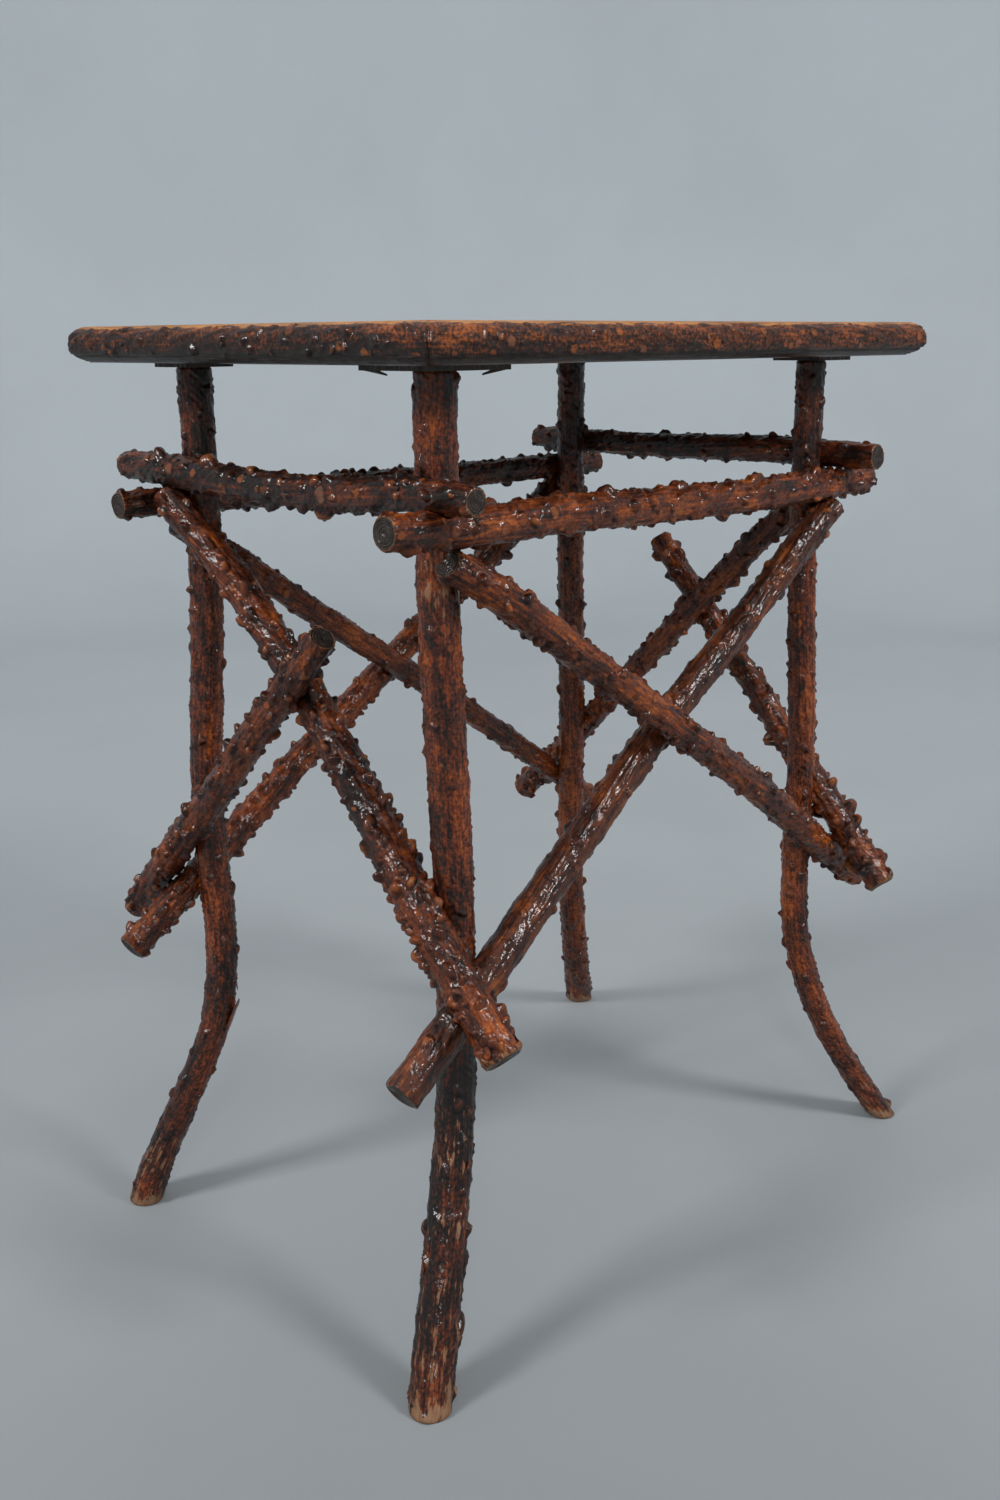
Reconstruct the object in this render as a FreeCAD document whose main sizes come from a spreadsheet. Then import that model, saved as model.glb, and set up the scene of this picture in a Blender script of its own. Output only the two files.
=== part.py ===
# Rustic twig side table: a plank top edged with half-round branches stands on four crooked branch
# legs, tied together by nailed twig rails and by a pair of crossed twig braces on every side.
# Millimetres. +Z is up, +X runs along the long side, -Y is the front. The origin is on the floor,
# under the middle of the top.
import FreeCAD, Part
import os

import Sketcher

SIZES = {
    # the top
    "table_height": 700,
    "top_length": 538,
    "top_depth": 388,
    "edging_height": 25,
    "edging_depth": 16,
    "edging_rounding": 11,
    "plank_thickness": 25,
    # the legs: how far in from the edge of the top, the plumb stretch, the bend above the foot
    "leg_inset": 65.5,
    "front_left_leg_diameter": 28,
    "front_right_leg_diameter": 23,
    "back_left_leg_diameter": 25.5,
    "back_right_leg_diameter": 24.5,
    "front_left_knee_height": 200,
    "front_right_knee_height": 215,
    "back_left_knee_height": 175,
    "back_right_knee_height": 190,
    "foot_splay_x": 72,
    "foot_splay_y": 52,
    "leg_lean": 8,
    "plumb_length": 150,
    "fixing_height": 300,
    "fixing_length": 90,
    # the plates between the legs and the planks
    "front_left_plate_width": 66,
    "front_right_plate_width": 44,
    "back_left_plate_width": 42,
    "back_right_plate_width": 42,
    "plate_thickness": 3.5,
    # the rails
    "side_rail_drop": 102,
    "long_rail_step": 23,
    "rail_overhang": 64,
    "rail_tilt_height": 3,
    "front_rail_diameter": 25,
    "back_rail_diameter": 22,
    "left_rail_diameter": 23,
    "right_rail_diameter": 22,
    # the braces
    "long_brace_drop": 17,
    "side_brace_drop": 17,
    "brace_tuck": 9,
    "brace_overhang_x": 68,
    "brace_overhang_y": 84,
    "brace_foot_height": 235,
    "short_brace_head_depth": 90,
    "short_brace_head_reach": 45,
    "front_outer_brace_diameter": 23,
    "front_inner_brace_diameter": 24.5,
    "back_outer_brace_diameter": 23,
    "back_inner_brace_diameter": 20,
    "left_long_brace_diameter": 25,
    "left_short_brace_diameter": 23.5,
    "right_long_brace_diameter": 21,
    "right_short_brace_diameter": 22,
    # the joints
    "seat_depth": 3,
    "lap_depth": 2.5,
    "fit_clearance": 0.3,
    "cut_overrun": 5,
    # the fasteners
    "nail_diameter": 3,
    "nail_length": 40,
    "nail_proud": 0.4,
    "edging_nail_length": 45,
    "bore_clearance": 0.1,
    "screw_shank_diameter": 4,
    "screw_head_diameter": 8,
    "screw_head_height": 2.5,
    "plate_screw_length": 20,
    "leg_screw_length": 60,
}

# Each leg: its corner, which way it leans at the brace fixings, how far its foot splays, and how much
# of that splay is left at each height of the bend.
LEGS = {
    "front_left": {"x": -1, "y": -1, "lean_shares": (0.45, -0.65), "splay_shares": (-1.02, -1.09),
                   "bend_shares": (1, 0.82, 0.64, 0.46, 0.29, 0.14, 0.04, 0)},
    "front_right": {"x": 1, "y": -1, "lean_shares": (0.6, -0.6), "splay_shares": (1.11, -1.16),
                    "bend_shares": (1, 0.76, 0.54, 0.35, 0.2, 0.09, 0.02, 0)},
    "back_left": {"x": -1, "y": 1, "lean_shares": (-0.8, 0.8), "splay_shares": (-0.89, 0.87),
                  "bend_shares": (1, 0.88, 0.71, 0.53, 0.35, 0.18, 0.06, 0)},
    "back_right": {"x": 1, "y": 1, "lean_shares": (0.2, -0.2), "splay_shares": (1.03, 0.97),
                   "bend_shares": (1, 0.81, 0.62, 0.44, 0.28, 0.14, 0.04, 0)},
}
KNEE_HEIGHT_SHARES = (0, 0.15, 0.3, 0.45, 0.6, 0.75, 0.88, 1)
FOOT_GIRTH_SHARES = (1.1, 1.12, 1.09, 1.06, 1.03, 1.01, 1, 1)

# Each side: its two legs in the order of +X or +Y, the axis it runs along, the axis across it and the
# sign of its outward direction.
SIDES = {
    "front": {"legs": ("front_left", "front_right"), "along": "X", "across": "Y", "outward": -1},
    "back": {"legs": ("back_left", "back_right"), "along": "X", "across": "Y", "outward": 1},
    "left": {"legs": ("front_left", "back_left"), "along": "Y", "across": "X", "outward": -1},
    "right": {"legs": ("front_right", "back_right"), "along": "Y", "across": "X", "outward": 1},
}

# Every twig has seven sections from its start to its end. The crook is a share of its diameter, to the
# lower side of a rail and of a brace; the girth is a share of its nominal girth.
RAILS = {
    "front_rail": {"side": "front", "height": "LongRail", "overhang_shares": (1.03, 0.96),
                   "tilt_shares": (1, 0), "crook_shares": (-0.08, 0, -0.04, 0.03, 0.05, 0, -0.06),
                   "girth_shares": (0.88, 1, 1.02, 1, 0.98, 0.92, 0.76)},
    "back_rail": {"side": "back", "height": "LongRail", "overhang_shares": (0.92, 0.91),
                  "tilt_shares": (0, 0), "crook_shares": (0, 0, 0.05, 0.08, 0.04, 0, -0.03),
                  "girth_shares": (0.88, 0.96, 1, 1.03, 1, 0.98, 0.9)},
    "left_rail": {"side": "left", "height": "SideRail", "overhang_shares": (0.92, 1.01),
                  "tilt_shares": (0, 0), "crook_shares": (0.04, 0, 0.18, 0.22, 0.14, 0, -0.08),
                  "girth_shares": (0.78, 0.98, 1.04, 0.98, 1, 1.02, 0.88)},
    "right_rail": {"side": "right", "height": "SideRail", "overhang_shares": (0.84, 0.95),
                   "tilt_shares": (0, 0), "crook_shares": (0.04, 0, -0.04, 0.02, 0.06, 0, -0.04),
                   "girth_shares": (0.94, 1, 1.02, 1, 0.96, 0.94, 0.86)},
}
LONG_RAILS = ("front_rail", "back_rail")
BRACES = {
    "front_outer_brace": {"side": "front", "upper": 0,
                          "overhang_share": 1.1, "foot_share": 0.96, "drop_share": 1.25,
                          "crook_shares": (0, 0, 0.04, 0, -0.06, 0, 0.04),
                          "girth_shares": (0.92, 0.96, 0.98, 1, 1.04, 1.06, 0.98)},
    "front_inner_brace": {"side": "front", "upper": 1,
                          "overhang_share": 1.05, "foot_share": 0.94, "drop_share": 1,
                          "crook_shares": (0, 0, 0.1, 0, 0.08, 0, 0),
                          "girth_shares": (1.06, 1.08, 1.04, 1, 0.95, 0.91, 0.86)},
    "back_inner_brace": {"side": "back", "upper": 0,
                         "overhang_share": 1, "foot_share": 0.98, "drop_share": 1,
                         "crook_shares": (0, 0, 0.05, 0, -0.05, 0, 0),
                         "girth_shares": (0.94, 0.98, 1.02, 1, 1.02, 1, 0.94)},
    "back_outer_brace": {"side": "back", "upper": 1,
                         "overhang_share": 1.05, "foot_share": 0.98, "drop_share": 0.8,
                         "crook_shares": (0, 0, -0.06, 0, 0.06, 0, 0),
                         "girth_shares": (1, 1.04, 1.02, 1, 0.98, 0.96, 0.92)},
    "left_long_brace": {"side": "left", "upper": 1,
                        "overhang_share": 0.97, "foot_share": 1.05, "drop_share": 1,
                        "crook_shares": (0, 0, 0.14, 0, -0.04, 0, 0),
                        "girth_shares": (1.08, 1.12, 1.12, 1.02, 1, 0.98, 0.9)},
    "right_long_brace": {"side": "right", "upper": 0,
                         "overhang_share": 1.03, "foot_share": 1.02, "drop_share": 1,
                         "crook_shares": (0, 0, -0.05, 0, 0.06, 0, 0),
                         "girth_shares": (0.92, 0.98, 1, 1, 1.02, 1.04, 1.1)},
}
SHORT_BRACES = {
    "left_short_brace": {"side": "left", "lower": 1,
                         "overhang_share": 1.03, "foot_share": 1.02, "head_share": 1.1,
                         "crook_shares": (0, 0, -0.04, 0.04, 0.06, 0, 0.04),
                         "girth_shares": (0.84, 0.96, 1, 1.04, 1.04, 1.04, 0.96)},
    "right_short_brace": {"side": "right", "lower": 0,
                          "overhang_share": 0.93, "foot_share": 1.03, "head_share": 0.94,
                          "crook_shares": (0, 0, 0.05, -0.04, 0.05, 0, 0),
                          "girth_shares": (1.06, 1.1, 1.06, 1, 0.96, 0.96, 0.9)},
}
# On each side the outer brace is bent over the inner one, which is pushed inwards.
CROSSINGS = {
    "front": {"inner": "front_inner_brace", "outer": "front_outer_brace", "push_share": 0.36},
    "back": {"inner": "back_inner_brace", "outer": "back_outer_brace", "push_share": 0.48},
    "left": {"inner": "left_long_brace", "outer": "left_short_brace", "push_share": 0.7},
    "right": {"inner": "right_long_brace", "outer": "right_short_brace", "push_share": 0.6},
}
ARCH_SHARE = 0.78
SPRING_SHARE = 0.28
BETWEEN_SHARES = (0.25, 0.5, 0.75)
MIDDLE_SHARE = 0.5
SEAT_KEYS = ("near", "far")
SEAT_STATIONS = (1, 5)
SEAT_SPAN_SHARE = 1.5
RAIL_NAIL_RISE_SHARE = 0.4
SCREW_PLACE_SHARE = 0.33
LONG_EDGING_NAIL_SHARES = (-0.36, 0, 0.36)
PLANKS = {"front_plank": -1, "middle_plank": 0, "back_plank": 1}

UP = FreeCAD.Vector(0, 0, 1)
AXES = {"X": FreeCAD.Vector(1, 0, 0), "Y": FreeCAD.Vector(0, 1, 0), "Z": UP}
QUARTER_TURN = 90
HALF_TURN = 180
TRIAL_RADIUS = 1

doc = FreeCAD.newDocument("twig_side_table")
sheet = doc.addObject("Spreadsheet::Sheet", "Sizes")
for row, (alias, number) in enumerate(SIZES.items(), start=1):
    sheet.set(f"A{row}", alias)
    sheet.set(f"B{row}", str(number))
    sheet.setAlias(f"B{row}", alias)
doc.recompute()

nodes = []


def size(alias):
    """The formula that reads one driving dimension."""
    return f"Sizes.{alias}"


def spread(axis):
    """The formula for the distance between the upper ends of the legs along one axis."""
    return f"levels.LegSpread{axis}"


def derived(name, formulas):
    """A set of lengths worked out from the sheet, named for the piece that they belong to."""
    lengths = doc.addObject("App::VarSet", name)
    for key, formula in formulas.items():
        lengths.addProperty("App::PropertyFloat", key, "Lengths")
        lengths.setExpression(key, formula)


def place(piece, x, y, z, axis=UP, turn=0, turn_formula=None):
    """Binds a piece's place to formulas, and turns it about one axis by an angle or a formula."""
    trial_turn = QUARTER_TURN if turn_formula else turn
    piece.Placement = FreeCAD.Placement(FreeCAD.Vector(), FreeCAD.Rotation(axis, trial_turn))
    if turn_formula:
        piece.setExpression("Placement.Rotation.Angle", turn_formula)
    for key, formula in (("x", x), ("y", y), ("z", z)):
        piece.setExpression(f"Placement.Base.{key}", str(formula))


def place_on_side(piece, side, along, reach, height, axis=UP, turn=0, turn_formula=None):
    """Places a piece by its distance along a side, its reach out from the legs' line and its height."""
    outwards = f"{side['outward']} * ({spread(side['across'])} / 2 + {reach})"
    spots = {side["along"]: along, side["across"]: outwards}
    place(piece, spots["X"], spots["Y"], height, axis, turn, turn_formula)


def cylinder(name, radius, height):
    """A round bar along +Z whose radius and height follow formulas."""
    bar = doc.addObject("Part::Cylinder", name)
    bar.setExpression("Radius", radius)
    bar.setExpression("Height", height)
    return bar


def keep(piece, label):
    """Makes a piece one of the table's own parts, under this name."""
    piece.Label = label
    nodes.append(piece)
    return piece


def cut_piece(label, blank, tools):
    """The finished part: its blank with the seats, laps and bores taken out."""
    cutter = doc.addObject("Part::MultiFuse", f"{label}_cutter")
    cutter.Shapes = tools
    part = doc.addObject("Part::Cut", f"{label}_cut")
    part.Base = blank
    part.Tool = cutter
    return keep(part, label)


def group(label, pieces):
    """Like fasteners, kept as one group of separate solids."""
    bundle = doc.addObject("Part::Compound", f"{label}_group")
    bundle.Links = pieces
    return keep(bundle, label)


def plane(body, role):
    """One of a body's own origin planes."""
    return next(feature for feature in body.Origin.OriginFeatures if feature.Role == role)


def branch(name, sections):
    """A body lofted through round sections, each with formulas for its centre and its radius."""
    body = doc.addObject("PartDesign::Body", f"{name}_round")
    rings = []
    for number, (x, y, z, radius) in enumerate(sections):
        ring = body.newObject("Sketcher::SketchObject", f"{name}_ring_{number}")
        ring.AttachmentSupport = [(plane(body, "XY_Plane"), "")]
        ring.MapMode = "FlatFace"
        ring.addGeometry(Part.Circle(FreeCAD.Vector(), UP, TRIAL_RADIUS), False)
        ring.addConstraint(Sketcher.Constraint("Coincident", 0, 3, -1, 1))
        girth = ring.addConstraint(Sketcher.Constraint("Radius", 0, TRIAL_RADIUS))
        ring.renameConstraint(girth, "girth")
        ring.setExpression("Constraints.girth", radius)
        for key, formula in (("x", x), ("y", y), ("z", z)):
            ring.setExpression(f"AttachmentOffset.Base.{key}", formula)
        rings.append(ring)
    loft = body.newObject("PartDesign::AdditiveLoft", f"{name}_loft")
    loft.Profile = rings[0]
    loft.Sections = rings[1:]
    loft.Ruled = True
    return body


# Heights under the top, the places of the legs and the size of the top inside its edging
derived("levels", {
    "PlankBottom": f"{size('table_height')} - {size('plank_thickness')}",
    "LegTop": f"{size('table_height')} - {size('plank_thickness')} - {size('plate_thickness')}",
    "LegSpreadX": f"{size('top_length')} - 2 * {size('leg_inset')}",
    "LegSpreadY": f"{size('top_depth')} - 2 * {size('leg_inset')}",
    "PlumbStart": f"levels.LegTop - {size('plumb_length')}",
    "SideRail": f"{size('table_height')} - {size('side_rail_drop')}",
    "LongRail": f"levels.SideRail - {size('long_rail_step')}",
    "InnerLength": f"{size('top_length')} - 2 * {size('edging_depth')}",
    "InnerDepth": f"{size('top_depth')} - 2 * {size('edging_depth')}",
})


# Legs
def leg_blank(name, leg):
    """A leg's round branch: splayed foot, bend, plumb stretches at the brace fixings and at the rails."""
    radius = f"{size(name + '_leg_diameter')} / 2"
    derived(f"{name}_line", {
        "TopX": f"{leg['x']} * {spread('X')} / 2",
        "TopY": f"{leg['y']} * {spread('Y')} / 2",
        "LowX": f"{leg['x']} * {spread('X')} / 2 + {leg['lean_shares'][0]} * {size('leg_lean')}",
        "LowY": f"{leg['y']} * {spread('Y')} / 2 + {leg['lean_shares'][1]} * {size('leg_lean')}",
        "Radius": radius,
    })
    rows = []
    bends = zip(KNEE_HEIGHT_SHARES, leg["bend_shares"], FOOT_GIRTH_SHARES)
    for height_share, bend_share, girth_share in bends:
        height = f"{size(name + '_knee_height')} * {height_share}"
        rows.append((height, bend_share, 1 - bend_share, girth_share))
    rows.append((f"{size('fixing_height')} - {size('fixing_length')} / 2", 0, 1, 1))
    rows.append((f"{size('fixing_height')} + {size('fixing_length')} / 2", 0, 1, 1))
    rows.append(("levels.PlumbStart", 0, 0, 1))
    rows.append(("(levels.PlumbStart + levels.LegTop) / 2", 0, 0, 1))
    rows.append(("levels.LegTop", 0, 0, 1))
    sections = []
    for height, bend_share, lean_share, girth_share in rows:
        shift = {}
        for number, key in enumerate(("x", "y")):
            splay = f"{bend_share * leg['splay_shares'][number]} * {size('foot_splay_' + key)}"
            lean = f"{lean_share * leg['lean_shares'][number]} * {size('leg_lean')}"
            shift[key] = f"{splay} + {lean}"
        sections.append((shift["x"], shift["y"], height, f"{radius} * {girth_share}"))
    body = branch(f"{name}_leg", sections)
    place(body, f"{name}_line.TopX", f"{name}_line.TopY", "0")
    return body


leg_blanks = {name: leg_blank(name, leg) for name, leg in LEGS.items()}
leg_tools = {name: [] for name in LEGS}


# Lines and seats of the twigs
def twig_line(name, start, end):
    """A twig's chord along its side, from (along, height) to (along, height), with its nominal radius."""
    derived(f"{name}_line", {
        "StartAlong": start[0],
        "StartHeight": start[1],
        "EndAlong": end[0],
        "EndHeight": end[1],
        "Run": f"{name}_line.EndAlong - {name}_line.StartAlong",
        "Rise": f"{name}_line.EndHeight - {name}_line.StartHeight",
        "Chord": f"sqrt({name}_line.Run ^ 2 + {name}_line.Rise ^ 2)",
        "Radius": f"{size(name + '_diameter')} / 2",
    })


def seat(name, key, along, reach, girth_share):
    """Where a twig is held: how far along the side, how far along the twig, how high and how far out."""
    line = f"{name}_line"
    part_way = f"({along} - {line}.StartAlong) / {line}.Run"
    derived(f"{name}_{key}", {
        "Along": along,
        "At": f"{line}.Chord * {part_way}",
        "Height": f"{line}.StartHeight + {line}.Rise * {part_way}",
        "Radius": f"{line}.Radius * {girth_share}",
        "Reach": reach,
    })


def leg_seat(name, side, leg, level, key, girth_share):
    """A seat on the outside of a leg, let into the twig by the seat depth."""
    line = f"{leg}_line"
    half_spread = f"{spread(side['across'])} / 2"
    face = f"{side['outward']} * {line}.{level}{side['across']} - {half_spread} + {line}.Radius"
    reach = f"{face} + {name}_line.Radius * {girth_share} - {size('seat_depth')}"
    seat(name, key, f"{line}.{level}{side['along']}", reach, girth_share)
    saddle = cylinder(
        f"{name}_{key}_saddle",
        f"{line}.Radius + {size('fit_clearance')}",
        f"{name}_line.Radius * {4 * SEAT_SPAN_SHARE}",
    )
    height = f"{name}_{key}.Height - {name}_line.Radius * {2 * SEAT_SPAN_SHARE}"
    place(saddle, f"{line}.{level}X", f"{line}.{level}Y", height)
    return saddle


def twig_blank(name, side, supports, crook_shares, girth_shares):
    """A twig's round stick, bent through its supports. It stands on its start and leans along its side."""
    line = f"{name}_line"
    first, last = supports[0], supports[-1]
    stations = [("0", f"{first}.Reach - {SPRING_SHARE} * ({supports[1]}.Reach - {first}.Reach)")]
    between_shares = BETWEEN_SHARES if len(supports) == 2 else (MIDDLE_SHARE,)
    for here, there in zip(supports, supports[1:]):
        stations.append((f"{here}.At", f"{here}.Reach"))
        for share in between_shares:
            bend_share = share
            if len(supports) == 3:
                bend_share = ARCH_SHARE if here == first else 1 - ARCH_SHARE
            at = f"{here}.At + {share} * ({there}.At - {here}.At)"
            stations.append((at, f"{here}.Reach + {bend_share} * ({there}.Reach - {here}.Reach)"))
    stations.append((f"{last}.At", f"{last}.Reach"))
    end_reach = f"{last}.Reach - {SPRING_SHARE} * ({supports[-2]}.Reach - {last}.Reach)"
    stations.append((f"{line}.Chord", end_reach))
    sections = []
    for (at, reach), crook_share, girth_share in zip(stations, crook_shares, girth_shares):
        crook = f"{crook_share} * 2 * {line}.Radius"
        outwards = f"{side['outward']} * ({reach})"
        shift = {side["along"]: crook, side["across"]: outwards}
        sections.append((shift["X"], shift["Y"], at, f"{line}.Radius * {girth_share}"))
    body = branch(name, sections)
    lay_along(body, name, side, f"{line}.StartAlong", "0", f"{line}.StartHeight")
    return body


def lay_along(piece, name, side, along, reach, height):
    """Lays a piece's own +Z along a twig's chord."""
    axis = AXES["Y"] if side["along"] == "X" else -AXES["X"]
    angle = f"atan2({name}_line.Run; {name}_line.Rise)"
    place_on_side(piece, side, along, reach, height, axis, turn_formula=angle)


def nail_inwards(name, side, along, reach, height, length):
    """A nail driven square into a side from outside, and the bore that it sits in."""
    axis = AXES["X"] if side["along"] == "X" else -AXES["Y"]
    turn = side["outward"] * QUARTER_TURN
    nail = cylinder(f"{name}_nail", f"{size('nail_diameter')} / 2", length)
    place_on_side(nail, side, along, f"{reach} + {size('nail_proud')}", height, axis, turn)
    bore = cylinder(
        f"{name}_bore",
        f"{size('nail_diameter')} / 2 + {size('bore_clearance')}",
        f"{length} + {size('cut_overrun')} + {size('bore_clearance')}",
    )
    start = f"{reach} + {size('nail_proud')} + {size('cut_overrun')}"
    place_on_side(bore, side, along, start, height, axis, turn)
    return nail, bore


def leg_nail(name, side, leg, key, rise_share=0):
    """The nail through a twig's seat into its leg, raised by a share of the twig's radius."""
    spot = f"{name}_{key}"
    nail, bore = nail_inwards(
        spot, side, f"{spot}.Along", f"{spot}.Reach + {spot}.Radius",
        f"{spot}.Height + {rise_share} * {spot}.Radius", size("nail_length"),
    )
    leg_tools[leg].append(bore)
    return nail, bore


# Rails
def rail_legs(rail):
    """The two legs that a rail is nailed to."""
    return SIDES[RAILS[rail]["side"]]["legs"]


def rail_cope(name, rail, leg):
    """The hollow in a twig that clears a rail where the rail passes their common leg."""
    side = SIDES[RAILS[rail]["side"]]
    spot = f"{rail}_{SEAT_KEYS[side['legs'].index(leg)]}"
    reach = f"{2 * SEAT_SPAN_SHARE} * {name}_line.Radius"
    cope = cylinder(f"{name}_{rail}_cope", f"{spot}.Radius + {size('fit_clearance')}", f"2 * {reach}")
    slope = f"{rail}_line.Rise / {rail}_line.Run"
    lay_along(
        cope, rail, side, f"{spot}.Along - {reach}", f"{spot}.Reach", f"{spot}.Height - {reach} * {slope}"
    )
    return cope


rail_nails = []
for name, rail in RAILS.items():
    side = SIDES[rail["side"]]
    half_spread = f"{spread(side['along'])} / 2"
    ends = []
    for sign, overhang_share, tilt_share in zip((-1, 1), rail["overhang_shares"], rail["tilt_shares"]):
        along = f"{sign} * ({half_spread} + {overhang_share} * {size('rail_overhang')})"
        ends.append((along, f"levels.{rail['height']} + {tilt_share} * {size('rail_tilt_height')}"))
    twig_line(name, *ends)
    tools = []
    for leg, key, station in zip(side["legs"], SEAT_KEYS, SEAT_STATIONS):
        tools.append(leg_seat(name, side, leg, "Top", key, rail["girth_shares"][station]))
        nail, bore = leg_nail(name, side, leg, key, RAIL_NAIL_RISE_SHARE)
        rail_nails.append(nail)
        tools.append(bore)
        if side["along"] == "Y":
            tools += [rail_cope(name, under, leg) for under in LONG_RAILS if leg in rail_legs(under)]
    supports = (f"{name}_near", f"{name}_far")
    blank = twig_blank(name, side, supports, rail["crook_shares"], rail["girth_shares"])
    cut_piece(name, blank, tools)
group("rail_nails", rail_nails)

# Lines of the braces
for name, brace in BRACES.items():
    side = SIDES[brace["side"]]
    key = side["along"].lower()
    half_spread = f"{spread(side['along'])} / 2"
    drop = "long_brace_drop" if key == "x" else "side_brace_drop"
    upper_sign = 1 if brace["upper"] else -1
    rail_seat = f"{brace['side']}_rail_{SEAT_KEYS[brace['upper']]}"
    head = (
        f"{upper_sign} * ({half_spread} + {size('brace_tuck')})",
        f"{rail_seat}.Height - {brace['drop_share']} * {size(drop)}",
    )
    foot = (
        f"{-upper_sign} * ({half_spread} + {brace['overhang_share']} * {size('brace_overhang_' + key)})",
        f"{brace['foot_share']} * {size('brace_foot_height')}",
    )
    start, end = (foot, head) if brace["upper"] else (head, foot)
    twig_line(name, start, end)
for name, brace in SHORT_BRACES.items():
    half_spread = f"{spread('Y')} / 2"
    lower_sign = 1 if brace["lower"] else -1
    head = (
        f"{-lower_sign} * {size('short_brace_head_reach')}",
        f"levels.SideRail - {brace['head_share']} * {size('short_brace_head_depth')}",
    )
    foot = (
        f"{lower_sign} * ({half_spread} + {brace['overhang_share']} * {size('brace_overhang_y')})",
        f"{brace['foot_share']} * {size('brace_foot_height')}",
    )
    start, end = (head, foot) if brace["lower"] else (foot, head)
    twig_line(name, start, end)

# Braces, side by side
brace_nails = []
crossing_nails = []
for side_name, pair in CROSSINGS.items():
    side = SIDES[side_name]
    inner, outer = pair["inner"], pair["outer"]
    tools = {inner: [], outer: []}
    long_braces = [name for name in (inner, outer) if name in BRACES]

    # the fixings on the legs, and the upper end tucked under the rail
    for name in long_braces:
        brace = BRACES[name]
        for number, (leg, key, station) in enumerate(zip(side["legs"], SEAT_KEYS, SEAT_STATIONS)):
            level = "Top" if number == brace["upper"] else "Low"
            tools[name].append(leg_seat(name, side, leg, level, key, brace["girth_shares"][station]))
            nail, bore = leg_nail(name, side, leg, key)
            brace_nails.append(nail)
            tools[name].append(bore)
        upper_leg = side["legs"][brace["upper"]]
        tools[name] += [rail_cope(name, rail, upper_leg) for rail in RAILS if upper_leg in rail_legs(rail)]

    # the crossing point of the two chords, and how far out each brace passes it
    inner_slope = f"{inner}_line.Rise / {inner}_line.Run"
    outer_slope = f"{outer}_line.Rise / {outer}_line.Run"
    crossing = f"{side_name}_crossing"
    derived(crossing, {
        "Along": f"({outer}_line.StartHeight - {inner}_line.StartHeight"
                 f" + {inner_slope} * {inner}_line.StartAlong - {outer_slope} * {outer}_line.StartAlong)"
                 f" / ({inner_slope} - {outer_slope})",
        "Lap": f"{inner}_line.Radius + {outer}_line.Radius - {size('lap_depth')}",
        "InnerReach": f"({inner}_near.Reach + {inner}_far.Reach) / 2"
                      f" - {pair['push_share']} * {crossing}.Lap",
        "OuterReach": f"{crossing}.InnerReach + {crossing}.Lap",
    })
    for name, key in ((inner, "InnerReach"), (outer, "OuterReach")):
        seat(name, "cross", f"{crossing}.Along", f"{crossing}.{key}", 1)
    if outer in SHORT_BRACES:
        brace = SHORT_BRACES[outer]
        leg = side["legs"][brace["lower"]]
        station = SEAT_STATIONS[brace["lower"]]
        tools[outer].append(leg_seat(outer, side, leg, "Low", "leg", brace["girth_shares"][station]))
        nail, bore = leg_nail(outer, side, leg, "leg")
        brace_nails.append(nail)
        tools[outer].append(bore)

    # the lap of the outer brace over the inner one, and the nail through both
    lap = cylinder(
        f"{outer}_lap",
        f"{inner}_cross.Radius + {size('fit_clearance')}",
        f"{SEAT_SPAN_SHARE * 4} * {outer}_line.Radius",
    )
    half_lap = f"{SEAT_SPAN_SHARE * 2} * {outer}_line.Radius / {inner}_line.Chord"
    lay_along(
        lap, inner, side,
        f"{crossing}.Along - {half_lap} * {inner}_line.Run",
        f"{crossing}.InnerReach",
        f"{inner}_cross.Height - {half_lap} * {inner}_line.Rise",
    )
    tools[outer].append(lap)
    nail, bore = nail_inwards(
        crossing, side, f"{crossing}.Along", f"{crossing}.OuterReach + {outer}_cross.Radius",
        f"{outer}_cross.Height", size("nail_length"),
    )
    crossing_nails.append(nail)
    tools[inner].append(bore)
    tools[outer].append(bore)

    for name in (inner, outer):
        brace = BRACES.get(name) or SHORT_BRACES[name]
        supports = (f"{name}_near", f"{name}_cross", f"{name}_far")
        if name in SHORT_BRACES:
            supports = (f"{name}_leg", f"{name}_cross")
            if brace["lower"]:
                supports = supports[::-1]
        blank = twig_blank(name, side, supports, brace["crook_shares"], brace["girth_shares"])
        cut_piece(name, blank, tools[name])
group("brace_nails", brace_nails)
group("crossing_nails", crossing_nails)


# Plates and screws
def screw(name, length, clearance):
    """A countersunk screw that stands on its head at the origin, or with a clearance its bore."""
    shank_radius = f"{size('screw_shank_diameter')} / 2 + {clearance}"
    head = doc.addObject("Part::Cone", f"{name}_head")
    head.setExpression("Radius1", f"{size('screw_head_diameter')} / 2 + {clearance}")
    head.setExpression("Radius2", shank_radius)
    head.setExpression("Height", size("screw_head_height"))
    shank = cylinder(f"{name}_shank", shank_radius, f"{length} + {clearance}")
    whole = doc.addObject("Part::Fuse", name)
    whole.Base = head
    whole.Tool = shank
    return whole


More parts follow.
